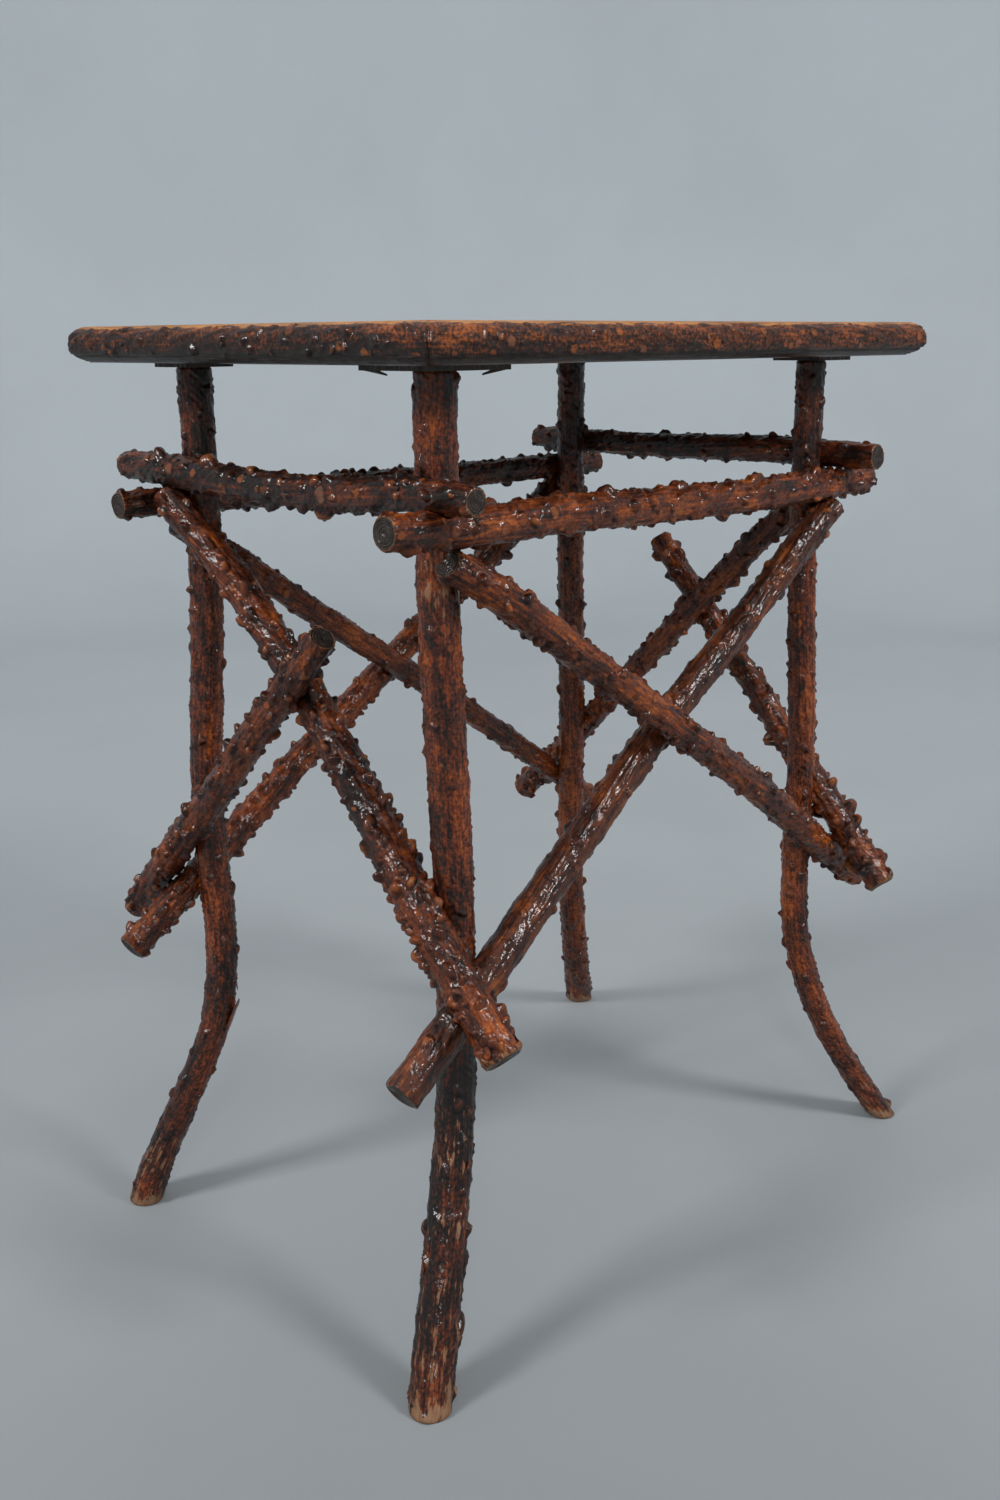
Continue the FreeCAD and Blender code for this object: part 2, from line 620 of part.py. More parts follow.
plate_screws = []
leg_screws = []
plank_tools = {name: [] for name in PLANKS}
for name, leg in LEGS.items():
    tools = []
    line = f"{name}_line"
    width = size(f"{name}_plate_width")
    for x_sign in (-1, 1):
        for y_sign in (-1, 1):
            x = f"{line}.TopX + {x_sign * SCREW_PLACE_SHARE} * {width}"
            y = f"{line}.TopY + {y_sign * SCREW_PLACE_SHARE} * {width}"
            number = len(plate_screws)
            fastener = screw(f"plate_screw_{number}", size("plate_screw_length"), "0")
            bore = screw(f"plate_screw_bore_{number}", size("plate_screw_length"), size("bore_clearance"))
            for piece in (fastener, bore):
                place(piece, x, y, "levels.LegTop")
            plate_screws.append(fastener)
            tools.append(bore)
            plank_tools["front_plank" if leg["y"] < 0 else "back_plank"].append(bore)
    fastener = screw(f"{name}_leg_screw", size("leg_screw_length"), "0")
    bore = screw(f"{name}_leg_screw_bore", size("leg_screw_length"), size("bore_clearance"))
    for piece in (fastener, bore):
        place(piece, f"{line}.TopX", f"{line}.TopY", "levels.PlankBottom", AXES["X"], HALF_TURN)
    leg_screws.append(fastener)
    tools.append(bore)
    leg_tools[name].append(bore)
    blank = doc.addObject("Part::Box", f"{name}_plate_blank")
    blank.setExpression("Length", width)
    blank.setExpression("Width", width)
    blank.setExpression("Height", size("plate_thickness"))
    place(blank, f"{line}.TopX - {width} / 2", f"{line}.TopY - {width} / 2", "levels.LegTop")
    cut_piece(f"{name}_leg_plate", blank, tools)
group("plate_screws", plate_screws)
group("leg_screws", leg_screws)
for name in LEGS:
    cut_piece(f"{name}_leg", leg_blanks[name], leg_tools[name])


# Edging and planks
def edging_blank(name, length):
    """A half-round branch in plan: mitred ends, its long outer edge on the body's X axis."""
    body = doc.addObject("PartDesign::Body", f"{name}_body")
    outline = body.newObject("Sketcher::SketchObject", f"{name}_outline")
    outline.AttachmentSupport = [(plane(body, "XY_Plane"), "")]
    outline.MapMode = "FlatFace"
    half = SIZES["top_depth"] / 2
    depth = SIZES["edging_depth"]
    corners = [
        FreeCAD.Vector(-half, 0),
        FreeCAD.Vector(half, 0),
        FreeCAD.Vector(half - depth, depth),
        FreeCAD.Vector(depth - half, depth),
    ]
    for number, corner in enumerate(corners):
        outline.addGeometry(Part.LineSegment(corner, corners[(number + 1) % len(corners)]), False)
    for number in range(len(corners)):
        outline.addConstraint(Sketcher.Constraint("Coincident", number, 2, (number + 1) % len(corners), 1))
    outline.addConstraint(Sketcher.Constraint("PointOnObject", 0, 1, -1))
    outline.addConstraint(Sketcher.Constraint("Symmetric", 0, 1, 0, 2, -2))
    outline.addConstraint(Sketcher.Constraint("Symmetric", 2, 1, 2, 2, -2))
    spans = {
        "outer": (Sketcher.Constraint("DistanceX", 0, 1, 0, 2, 2 * half), length),
        "inner": (
            Sketcher.Constraint("DistanceX", 2, 2, 2, 1, 2 * (half - depth)),
            f"{length} - 2 * {size('edging_depth')}",
        ),
        "depth": (Sketcher.Constraint("DistanceY", 0, 2, 2, 1, depth), size("edging_depth")),
    }
    for key, (constraint, formula) in spans.items():
        outline.renameConstraint(outline.addConstraint(constraint), key)
        outline.setExpression(f"Constraints.{key}", formula)
    pad = body.newObject("PartDesign::Pad", f"{name}_pad")
    pad.Profile = outline
    pad.setExpression("Length", size("edging_height"))
    doc.recompute()
    outer_edges = [
        f"Edge{number}"
        for number, edge in enumerate(pad.Shape.Edges, start=1)
        if edge.BoundBox.YMax < depth / 2 and edge.BoundBox.XLength > half
    ]
    rounding = body.newObject("PartDesign::Fillet", f"{name}_rounding")
    rounding.Base = (pad, outer_edges)
    rounding.setExpression("Radius", size("edging_rounding"))
    body.Tip = rounding
    return body


EDGINGS = {
    "front": ("top_length", 0, 0, -1),
    "right": ("top_depth", QUARTER_TURN, 1, 0),
    "back": ("top_length", HALF_TURN, 0, 1),
    "left": ("top_depth", HALF_TURN + QUARTER_TURN, -1, 0),
}
edging_nails = []
edging_middle = f"{size('table_height')} - {size('edging_height')} / 2"
plank_depth = f"levels.InnerDepth / {len(PLANKS)}"
for side_name, (length, turn, x_sign, y_sign) in EDGINGS.items():
    side = SIDES[side_name]
    blank = edging_blank(f"{side_name}_edging", size(length))
    place(
        blank,
        f"{x_sign} * {size('top_length')} / 2",
        f"{y_sign} * {size('top_depth')} / 2",
        f"{size('table_height')} - {size('edging_height')}",
        UP, turn,
    )
    reach = size("leg_inset")
    tools = []
    if side["along"] == "X":
        target = f"{side_name}_plank"
        spots = [(f"{share} * {size('top_length')}", target) for share in LONG_EDGING_NAIL_SHARES]
    else:
        spots = [(f"{step} * {plank_depth}", target) for target, step in PLANKS.items()]
    for number, (along, target) in enumerate(spots):
        nail, bore = nail_inwards(
            f"{side_name}_edging_{number}", side, along, reach, edging_middle, size("edging_nail_length")
        )
        edging_nails.append(nail)
        tools.append(bore)
        plank_tools[target].append(bore)
    cut_piece(f"{side_name}_edging", blank, tools)
group("edging_nails", edging_nails)

for name, step in PLANKS.items():
    board = doc.addObject("Part::Box", f"{name}_blank")
    board.setExpression("Length", "levels.InnerLength")
    board.setExpression("Width", plank_depth)
    board.setExpression("Height", size("plank_thickness"))
    front_edge = f"({step} - {MIDDLE_SHARE}) * {plank_depth}"
    place(board, "-levels.InnerLength / 2", front_edge, "levels.PlankBottom")
    cut_piece(name, board, plank_tools[name])

doc.recompute()
faults = [item.Name for item in doc.Objects if "Invalid" in item.State or "Error" in item.State]
faults += [node.Label for node in nodes if node.Shape.isNull() or not node.Shape.isValid()]
if faults:
    raise RuntimeError(f"these pieces failed: {faults}")
os.makedirs("parts", exist_ok=True)
for node in nodes:
    node.Shape.exportStep(f"parts/{node.Label}.step")
    print(node.Label, len(node.Shape.Solids), "solids", round(node.Shape.Volume), "mm3")
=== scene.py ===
import math

import bmesh
import bpy
import numpy as np
from mathutils import Matrix, Vector


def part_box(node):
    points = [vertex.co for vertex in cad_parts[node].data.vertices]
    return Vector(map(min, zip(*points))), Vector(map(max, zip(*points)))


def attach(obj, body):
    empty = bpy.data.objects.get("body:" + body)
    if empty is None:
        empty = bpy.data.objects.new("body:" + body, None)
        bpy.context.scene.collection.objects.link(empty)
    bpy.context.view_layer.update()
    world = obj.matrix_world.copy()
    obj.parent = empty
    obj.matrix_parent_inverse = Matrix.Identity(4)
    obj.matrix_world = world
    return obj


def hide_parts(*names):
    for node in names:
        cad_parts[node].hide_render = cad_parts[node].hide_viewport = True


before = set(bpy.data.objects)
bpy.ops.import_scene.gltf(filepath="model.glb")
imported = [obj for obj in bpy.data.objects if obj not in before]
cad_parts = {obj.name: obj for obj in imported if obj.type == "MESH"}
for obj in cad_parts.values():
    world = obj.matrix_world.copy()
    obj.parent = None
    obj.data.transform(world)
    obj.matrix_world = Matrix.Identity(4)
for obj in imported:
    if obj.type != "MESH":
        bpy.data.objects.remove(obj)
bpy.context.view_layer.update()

MM = 0.001
TURN = 2 * math.pi
WHOLE = (0, 1)

# Fineness of the branch meshes
RING_STEP = 1.1 * MM
SEGMENTS = 72
CAP_RINGS = 18
END_CHAMFER = 0.9 * MM
SAME_RING = 0.02 * MM
CORE_SHARE = 0.97

# How the rings that a branch was drawn through are found in its CAD mesh
SMALLEST_RADIUS = 6 * MM
LARGEST_RADIUS = 20 * MM
LEAST_RING_POINTS = 24
RING_POINTS_SHARE = 0.7
WIDEST_GAP_SHARE = 0.5
LEAST_RING_GAP = 8 * MM
CIRCLE_TRIES = 5
ROUND_DIGITS = 7
CHORD_TILT = 0.2
CAP_SEARCH = 6 * MM
CAP_COSINE = 0.9

# The two kinds of branch: their slot and bark, the relief of the bark in millimetres, how many knot scars
# are strewn on it, over how many millimetres it is worn off at its two ends, how uneven in millimetres the
# saw left them, the tints that its knobs may have, how dark it is painted at shares of its length (partly the
# bark's own tone, partly painted shade, and painted light where it is below zero), and where else it is bare
# (a share of its length, a width and an amount).
LEG = {
    "slot": "leg_bark", "bark": "leg", "ridge": 0.2, "lump": 0.4, "wrinkle": 0.1, "pebble": 0.8,
    "scars": 4, "wear": (16, 1), "saw_dip": 0, "tints": (0, 0.5),
    "shade": ((0, 0.2), (1, 0)), "bare": ((0.06, 0.04, 0.2),),
}
TWIG = {
    "slot": "twig_bark", "bark": "twig", "ridge": 0.2, "lump": 0.5, "wrinkle": 0.17, "pebble": 0.7,
    "scars": 3, "wear": (0.4, 0.4), "saw_dip": 0.5, "tints": (0.05, 0.75),
    "shade": ((0, 0), (1, 0)), "bare": (),
}
# Every branch: its kind, how many knobs a metre has at its two ends, their height and half width in
# millimetres, and its rings of old leaf joints as shares of its length
BRANCH_COLUMNS = ("knobs", "height", "width", "joints")
BRANCHES = {
    "front_left_leg": (LEG, (150, 120), (0.7, 2.4), (2.6, 4.4), (0.17, 0.42, 0.9)),
    "front_right_leg": (LEG, (170, 150), (1, 3.8), (2.6, 4.6), (0.3, 0.62)),
    "back_left_leg": (LEG, (180, 140), (1, 3.8), (2.6, 4.6), (0.25, 0.8)),
    "back_right_leg": (LEG, (220, 260), (1.2, 4.8), (2.6, 4.6), (0.35, 0.7)),
    "front_rail": (TWIG, (250, 380), (1.2, 5), (2.2, 4.6), (0.12, 0.3)),
    "back_rail": (TWIG, (260, 300), (1.4, 5), (2.2, 4.4), (0.5,)),
    "left_rail": (TWIG, (240, 280), (1.2, 4.6), (2.2, 4.6), (0.5, 0.82)),
    "right_rail": (TWIG, (130, 260), (1.4, 4.8), (2.2, 4.4), (0.14,)),
    "front_outer_brace": (TWIG, (360, 320), (1.2, 4.8), (2, 4.4), (0.6,)),
    "front_inner_brace": (TWIG, (50, 380), (0.8, 3.4), (2.6, 5), (0.1, 0.93)),
    "back_outer_brace": (TWIG, (360, 360), (2.2, 6.4), (2.4, 4.6), (0.4,)),
    "back_inner_brace": (TWIG, (170, 130), (1.2, 4), (2.2, 4.2), (0.3,)),
    "left_long_brace": (TWIG, (600, 240), (1.8, 6.6), (2.4, 5.2), (0.1, 0.64)),
    "left_short_brace": (TWIG, (320, 320), (1.6, 5.6), (2.4, 4.8), (0.5,)),
    "right_long_brace": (TWIG, (380, 310), (2, 6.2), (2.4, 4.8), (0.55,)),
    "right_short_brace": (TWIG, (360, 220), (1.8, 7.2), (2.6, 5.8), (0.35,)),
}
# Where single branches differ from their kind. Their shade is partly the bark's own tone and partly painted
# shade, as at the tops of the legs under the table top, and painted light where it is below zero.
OWN_LOOKS = {
    "front_left_leg": {
        "shade": ((0, 0.2), (0.06, 0.4), (0.2, 0.66), (0.34, 0.76), (0.4, 0.1), (1, 0)),
        "bare": ((0.05, 0.03, 0.2), (0.1, 0.03, 0.26), (0.16, 0.015, 0.34), (0.24, 0.05, 0.3),
                 (0.8, 0.05, 0.36)),
    },
    "front_right_leg": {"shade": ((0, 0.1), (0.4, -0.1), (0.85, 0), (1, 0.4))},
    "back_left_leg": {
        "shade": ((0, 0.1), (0.12, 0.4), (0.3, 0.2), (0.7, 0.1), (1, 0.4)), "bare": ((0.07, 0.04, 0.35),),
    },
    "back_right_leg": {"shade": ((0, 0.1), (0.4, -0.25), (0.75, 0), (1, 0.4))},
    "front_rail": {"scars": 9},
    "back_rail": {"shade": ((0, 0.35), (1, 0.35))},
    "left_rail": {"scars": 9, "shade": ((0, 0.55), (1, 0.5))},
    "right_rail": {"shade": ((0, 0.1), (0.2, 0.35), (1, 0.45))},
    "front_inner_brace": {"bark": "smooth", "ridge": 0.34, "pebble": 0.25, "scars": 5},
    "left_long_brace": {"wear": (4, 0.4), "shade": ((0, 0), (0.4, 0.3), (1, 0.2))},
    "left_short_brace": {"shade": ((0, 0.1), (1, 0.3))},
    "right_short_brace": {"wear": (4, 0.4)},
}
# The large knobs that stand out: a share of the branch's length, a share of a turn, the height and the half
# width in millimetres; and the large knot scars: the two shares and the radius in millimetres.
BURLS = {
    "front_left_leg": ((0.15, 0.125, 3.2, 4.6), (0.152, 0.62, 3.6, 5), (0.125, 0.14, 2.6, 6),
                       (0.07, 0.12, 3, 6.5)),
    "left_rail": ((0.86, 0.2, 6, 5.6), (0.7, 0.21, 6.4, 5.8), (0.52, 0.78, 4.6, 5), (0.36, 0.8, 6, 6.6),
                  (0.65, 0.79, 4, 5)),
    "front_rail": ((0.03, 0.63, 4.6, 5), (0.15, 0.74, 3.6, 5), (0.37, 0.27, 4.6, 5), (0.52, 0.25, 4, 4.6),
                   (0.62, 0.74, 4.6, 5.4), (0.7, 0.26, 4.6, 5)),
    "right_short_brace": ((0.05, 0.36, 6, 6), (0.07, 0.86, 6, 6), (0.12, 0.6, 6.6, 6), (0.14, 0.12, 6.6, 6),
                          (0.19, 0.34, 7.4, 6.4), (0.22, 0.84, 7, 6), (0.28, 0.58, 7, 6),
                          (0.31, 0.1, 7.4, 6.4), (0.37, 0.36, 6.6, 6), (0.42, 0.86, 6.4, 6)),
}
SCARS = {
    "left_rail": ((0.807, 0.04, 5), (0.727, 0.05, 4), (0.636, 0.95, 5.4), (0.58, 0.08, 4.4), (0.509, 0.02, 5),
                  (0.349, 0, 6.4), (0.276, 0.03, 5.8), (0.778, 0.9, 5)),
    "front_rail": ((0.09, 0.5, 5), (0.17, 0.53, 4.6), (0.2, 0.47, 4.6), (0.254, 0.45, 5), (0.33, 0.52, 4.2)),
}
# Loose flakes of bark: where each is rooted, as the same two shares, its length and width, and how far its
# free end stands off, in millimetres. One with a negative length points back to the start of the branch.
FLAKES = {
    "back_left_leg": ((0.205, 0.09, 38, 14, 4), (0.29, 0.13, -14, 6, 1.4)),
    "front_left_leg": ((0.15, 0.7, -22, 6, 1.2), (0.2, 0.02, 12, 5, 1.4)),
    "left_long_brace": ((0.03, 0.45, -11, 8, 2.2), (0.03, 0.05, -10, 7, 1.6)),
}
FLAKE_ROWS = 9
FLAKE_COLUMNS = 5
FLAKE_SKIN = 0.7 * MM
FLAKE_ROOT = 0.8 * MM
FLAKE_CURL = 1.3
FLAKE_TAPER_SHARE = 0.4
FLAKE_TAPER_POWER = 3
FLAKE_RAGGED_SHARE = 0.12
FLAKE_THINNING_SHARE = 0.6

# Knobs: how they are spread, their sizes and outline, the two powers of their form, and how low they stay
# near the ends of a branch
GOLDEN_TURN = TURN * (3 - math.sqrt(5)) / 2
SPOT_DRIFT = 2.6 * MM
TURN_DRIFT_SHARE = 0.08
SIZE_SKEW = (1.3, 2.2)
KNOB_STRETCH = (0.9, 1.5)
KNOB_UNEVEN = 0.26
KNOB_LOBES = (2, 4)
KNOB_LEAN_SHARE = 0.3
KNOB_FLATNESS = 3
KNOB_CROWN = 1.3
END_KNOB_HEIGHT = 1 * MM
END_KNOB_SLOPE = 0.4

# Knot scars: their radius in millimetres, the height of their rim, their tints, where the rim and the hollow
# lie as shares of the radius, the hollow's depth as a share of the rim, and the powers that flatten the
# hollow, the outer slope and the tint
SCAR_RADIUS = (2.6, 4.6)
SCAR_RIM = 0.7 * MM
SCAR_TINTS = (0.25, 0.9)
RIM_PLACE_SHARE = 0.7
RIM_WIDTH_SHARE = 0.2
HOLLOW_SHARE = 0.5
HOLLOW_DEPTH_SHARE = 0.5
HOLLOW_FLATNESS = 4
SCAR_FADE = 6
SCAR_COVER = 4

# Waves of the bark's relief: how often they go round a branch, and their lengths in millimetres
WAVES = 18
RELIEFS = {
    "ridge": ((9, 26), (30, 200)),
    "lump": ((1, 6), (9, 60)),
    "wrinkle": ((5, 16), (4, 14)),
    "pebble": ((6, 22), (3.4, 9)),
    "saw_dip": ((1, 3), (1, 3)),
}
PEBBLE_START = 0.5

# Old leaf joints, worn bark at the ends of a branch, and the year rings and the drying check of a sawn end
JOINT_SWELL = 0.8 * MM
JOINT_WIDTH = 1.8 * MM
WORN_SHARE = 0.78
END_RING_RELIEF = 0.22 * MM
END_RINGS = 4
END_CHECK_DEPTH = 0.8 * MM
END_CHECK_WIDTH_SHARE = 0.05

# The edging: its profile, the seam above its foot, and its relief, whose waves wrap round it twice
EDGING_STEP = 1.4 * MM
EDGING_ROUNDING = 11 * MM
ARC_STEPS = 13
FLAT_STEPS = 4
SEAM_HEIGHT = 4.6 * MM
SEAM_DEPTH = 0.7 * MM
SEAM_WIDTH = 0.5 * MM
SEAM_WANDER = 0.5 * MM
SEAM_WANDER_LENGTH = 90 * MM
FOOT_RELIEF_SHARE = 0.15
FOOT_SETBACK = 0.7 * MM
FRONT_COSINE = 0.2
BARK_EDGE = 0.5
EDGING_WRAP = 2
EDGING_LUMP = 0.35 * MM
EDGING_RIDGE = 0.16 * MM
EDGING_SCAR_RIM = 0.5 * MM
EDGING_SINK = 0.8 * MM
EDGING_TINTS = (0.05, 0.7)
MITRE_EASE = 1.2 * MM
ARRIS_WEAR = 2.8 * MM
# Every strip: the knobs and the knot scars of a metre, the height and the half width of its knobs in
# millimetres, and its painted shade at its foot and at its top: darker at the foot and lighter at the top,
# as light from above leaves it
EDGING_COLUMNS = ("knobs", "scars", "height", "width", "shade")
EDGINGS = {
    "front_edging": (100, 110, (0.4, 1.5), (1.8, 3.6), (0.4, -0.15)),
    "back_edging": (150, 50, (0.4, 2.2), (1.8, 4.2), (0.6, 0.1)),
    "left_edging": (200, 40, (0.6, 3), (2, 5), (1.1, 0)),
    "right_edging": (160, 40, (0.5, 2.4), (2, 4.6), (0.6, 0.1)),
}

# Planks, plates and fasteners
PLANKS = ("front_plank", "middle_plank", "back_plank")
PLANK_EDGE = 1.1 * MM
PLANK_EDGE_STEPS = 2
PLANK_EDGE_PROFILE = 0.6
PLANK_CUTS = 40
GRAIN_SHIFT = 0.73
PLANE_WAVE = 0.12 * MM
PLANE_LENGTH = 110 * MM
PLATES = ("front_left_leg_plate", "front_right_leg_plate", "back_left_leg_plate", "back_right_leg_plate")
PLATE_RAGGED = 1.4 * MM
PLATE_RAGGED_SKEW = (1.2, 3)
PLATE_STEP = 2.2 * MM
# Splinters hang from these corners of a plate. Their outline is given as shares of their length, half width
# and drop.
SPLINTERS = {"front_left_leg_plate": ((-1, 1), (1, -1))}
SPLINTER_LENGTH = 15 * MM
SPLINTER_WIDTH = 5 * MM
SPLINTER_DROP = 3.4 * MM
SPLINTER_SKIN = SPLINTER_DROP / 3
SPLINTER_ROOT_SHARE = 0.94
SPLINTER_SHARES = ((0, -1, 0), (0, 1, 0), (0.6, 1, 0.25), (1, 0, 1), (0.55, -1, 0.3))
# Nails have their heads outside; screws have theirs at the lower (-1) or upper (1) end
NAILS = ("rail_nails", "brace_nails", "crossing_nails", "edging_nails")
SCREW_HEAD_ENDS = {"plate_screws": -1, "leg_screws": 1}
FASTENER_SEGMENTS = 24
SHARP_ANGLE = TURN / 9
TIP_SHARE = 0.25
NAIL_POINT = 5 * MM
NAIL_DOME = 0.35 * MM
NAIL_DOME_SHARES = ((1, 0), (0.92, 0.5), (0.7, 0.85), (0.36, 0.97))
THREAD_PITCH = 1.8 * MM
THREAD_DEPTH = 0.45 * MM
THREAD_RUNOUT = 2 * THREAD_PITCH
SCREW_HEAD_HEIGHT = 2.5 * MM
SHANK_SHARE = 0.5
SLOT_WIDTH = 1.2 * MM
SLOT_DEPTH = 0.8 * MM
SLOT_RINGS = 10
ORDER_DIGITS = 4


# Meshes
def node_mesh(name):
    """A CAD node's corners and its triangles."""
    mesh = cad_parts[name].data
    mesh.calc_loop_triangles()
    points = np.array([corner.co[:] for corner in mesh.vertices])
    return points, np.array([face.vertices[:] for face in mesh.loop_triangles])


def new_mesh(name, points, faces, material):
    """A smooth-shaded mesh."""
    mesh = bpy.data.meshes.new(name)
    mesh.from_pydata([tuple(point) for point in points], [], faces)
    mesh.polygons.foreach_set("use_smooth", [True] * len(mesh.polygons))
    mesh.materials.append(material)
    return mesh


def add_object(name, data):
    """Puts a mesh, a lamp or a camera into the scene."""
    item = bpy.data.objects.new(name, data)
    bpy.context.scene.collection.objects.link(item)
    return item


def build(name, points, faces, node, material, attributes=None):
    """Adds a piece that stands for a CAD node, with its corner attributes."""
    mesh = new_mesh(name, points, faces, material)
    for key, values in (attributes or {}).items():
        values = np.asarray(values, dtype=np.float32)
        if values.ndim == 2:
            mesh.attributes.new(key, "FLOAT_VECTOR", "POINT").data.foreach_set("vector", values.ravel())
        else:
            mesh.attributes.new(key, "FLOAT", "POINT").data.foreach_set("value", values)
    form = bmesh.new()
    form.from_mesh(mesh)
    bmesh.ops.recalc_face_normals(form, faces=form.faces)
    form.to_mesh(mesh)
    form.free()
    mesh.update()
    piece = add_object(name, mesh)
    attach(piece, "root")
    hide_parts(node)
    return piece


def shifted(faces, base):
    """Faces whose corners are counted on from a base."""
    return [tuple(base + corner for corner in face) for face in faces]


def ring_faces(here, there, columns):
    """Quads between two closed rings, each given by its first corner."""
    pairs = [(column, (column + 1) % columns) for column in range(columns)]
    return [(here + column, here + after, there + after, there + column) for column, after in pairs]


def grid_faces(rows, columns, base):
    """Quads between the rings of a tube."""
    faces = []
    for row in range(rows - 1):
        faces += ring_faces(base + row * columns, base + (row + 1) * columns, columns)
    return faces


# Material nodes
def tree_of(name):
    """A new node material, its node tree and its surface shader."""
    material = bpy.data.materials.new(name)
    material.use_nodes = True
    return material, material.node_tree, material.node_tree.nodes["Principled BSDF"]


def feed(tree, node, inputs):
    """Gives a node's inputs their values, each a plain one or another node's output."""
    for key, value in inputs.items():
        if isinstance(value, bpy.types.NodeSocket):
            tree.links.new(value, node.inputs[key])
        else:
            node.inputs[key].default_value = value


def attribute(tree, name, output="Fac"):
    """A corner attribute."""
    node = tree.nodes.new("ShaderNodeAttribute")
    node.attribute_name = name
    return node.outputs[output]


def math_node(tree, operation, first, second=0):
    """One sum on two values."""
    node = tree.nodes.new("ShaderNodeMath")
    node.operation = operation
    feed(tree, node, {0: first, 1: second})
    return node.outputs[0]


def vector_node(tree, operation, first, second, output="Vector"):
    """One sum on two vectors."""
    node = tree.nodes.new("ShaderNodeVectorMath")
    node.operation = operation
    feed(tree, node, {0: first, 1: second})
    return node.outputs[output]


def spread(tree, value, limits, results=WHOLE):
    """A value mapped from its limits to two results, held at both ends."""
    node = tree.nodes.new("ShaderNodeMapRange")
    feed(tree, node, {"Value": value, "From Min": limits[0], "From Max": limits[1]})
    feed(tree, node, {"To Min": results[0], "To Max": results[1]})
    return node.outputs["Result"]


def layer(tree, vector, scale, detail, rough, stretch=(1, 1, 1), limits=WHOLE):
    """Fractal noise over a stretched vector, with the values between two limits spread over 0 to 1."""
    node = tree.nodes.new("ShaderNodeTexNoise")
    place = vector_node(tree, "MULTIPLY", vector, stretch)
    feed(tree, node, {"Vector": place, "Scale": scale, "Detail": detail, "Roughness": rough})
    return spread(tree, node.outputs["Fac"], limits)


def weighed(tree, values, weights):
    """The sum of named values, each times its weight."""
    total = 0
    for key, weight in weights.items():
        total = math_node(tree, "ADD", total, math_node(tree, "MULTIPLY", values[key], weight))
    return total


def ramp(tree, value, stops):
    """A colour ramp with stops of (place, colour)."""
    stops = list(stops)
    node = tree.nodes.new("ShaderNodeValToRGB")
    elements = node.color_ramp.elements
    while len(elements) < len(stops):
        elements.new(1)
    for element, (place, colour) in zip(elements, stops):
        element.position = place
        element.color = (*colour, 1)
    feed(tree, node, {"Fac": value})
    return node.outputs["Color"]


def mix(tree, share, first, second, blend="MIX"):
    """Two colours mixed by a share."""
    node = tree.nodes.new("ShaderNodeMix")
    node.data_type = "RGBA"
    node.blend_type = blend
    feed(tree, node, {"Factor": share, 6: first, 7: second})
    return node.outputs[2]


def bump(tree, height, look):
    """Fine relief, as a normal for a shader."""
    node = tree.nodes.new("ShaderNodeBump")
    feed(tree, node, {"Height": height, **look})
    return node.outputs["Normal"]


# Each bark: its tones from dark to light, two tones of its bare wood, how fine its fibres are, how much
# varnish it has, and how strongly its crumbs are toned
BARKS = {
    "leg": {
        "tones": ((0.008, 0.005, 0.004), (0.058, 0.014, 0.006), (0.165, 0.034, 0.008), (0.32, 0.076, 0.013)),
        "wear": ((0.13, 0.04, 0.012), (0.28, 0.16, 0.09)), "fibre": 620, "coat": 0.55, "grit": 0.28,
    },
    "twig": {
        "tones": ((0.01, 0.005, 0.0035), (0.058, 0.0135, 0.0056), (0.16, 0.034, 0.0068),
                  (0.34, 0.082, 0.0125)),
        "wear": ((0.12, 0.04, 0.012), (0.24, 0.11, 0.045)), "fibre": 520, "coat": 0.52, "grit": 0.2,
    },
    "smooth": {
        "tones": ((0.007, 0.005, 0.004), (0.038, 0.011, 0.006), (0.1, 0.025, 0.008), (0.24, 0.062, 0.014)),
        "wear": ((0.12, 0.04, 0.012), (0.24, 0.11, 0.045)), "fibre": 700, "coat": 0.6, "grit": 0.12,
    },
    "edging": {
        "tones": ((0.012, 0.006, 0.004), (0.048, 0.014, 0.006), (0.128, 0.033, 0.008), (0.28, 0.07, 0.013)),
        "wear": ((0.13, 0.04, 0.01), (0.5, 0.22, 0.06)), "fibre": 460, "coat": 0.42, "grit": 0.42,
    },
}
TONE_PLACES = (0.18, 0.4, 0.62, 0.84)
SPOT_TONES = (
    (0, (0.01, 0.006, 0.005)),
    (0.3, (0.04, 0.012, 0.006)),
    (0.55, (0.16, 0.042, 0.012)),
    (0.75, (0.34, 0.095, 0.02)),
    (1, (0.1, 0.085, 0.08)),
)
# Painted shade in the creases at the feet of the knobs and round the knot scars, multiplied into the colour
KNOB_FOOT_PAINTED_SHADE = (
    (0, (1, 1, 1)),
    (0.06, (0.5, 0.47, 0.45)),
    (0.3, (0.6, 0.58, 0.56)),
    (0.7, (1, 1, 1)),
)
SAWN_TONES = ((0, (0.006, 0.005, 0.004)), (0.5, (0.026, 0.018, 0.014)), (1, (0.085, 0.06, 0.046)))
# The corner attributes that a bark reads, and its noises: stretched along the branch, at a scale per metre,
# with the limits that fill 0 to 1. The streaks take their scale from the bark's fibres.
FIELDS = ("knob", "tint", "worn", "shade", "sawn")
BARK_NOISES = {
    "streaks": {"stretch": (1, 1, 0.07), "detail": 6, "rough": 0.6, "limits": (0.3, 0.7)},
    "patches": {"stretch": (1, 1, 0.4), "scale": 55, "detail": 5, "rough": 0.6, "limits": (0.36, 0.64)},
    "flakes": {"stretch": (1, 1, 0.4), "scale": 240, "detail": 4, "rough": 0.6, "limits": (0.34, 0.66)},
    "specks": {"scale": 1300, "detail": 3, "rough": 0.6},
    "pebbles": {"scale": 480, "detail": 1, "rough": 0.4, "limits": (0.45, 0.75)},
    "crumbs": {"scale": 430, "detail": 2, "rough": 0.5, "limits": (0.36, 0.64)},
}
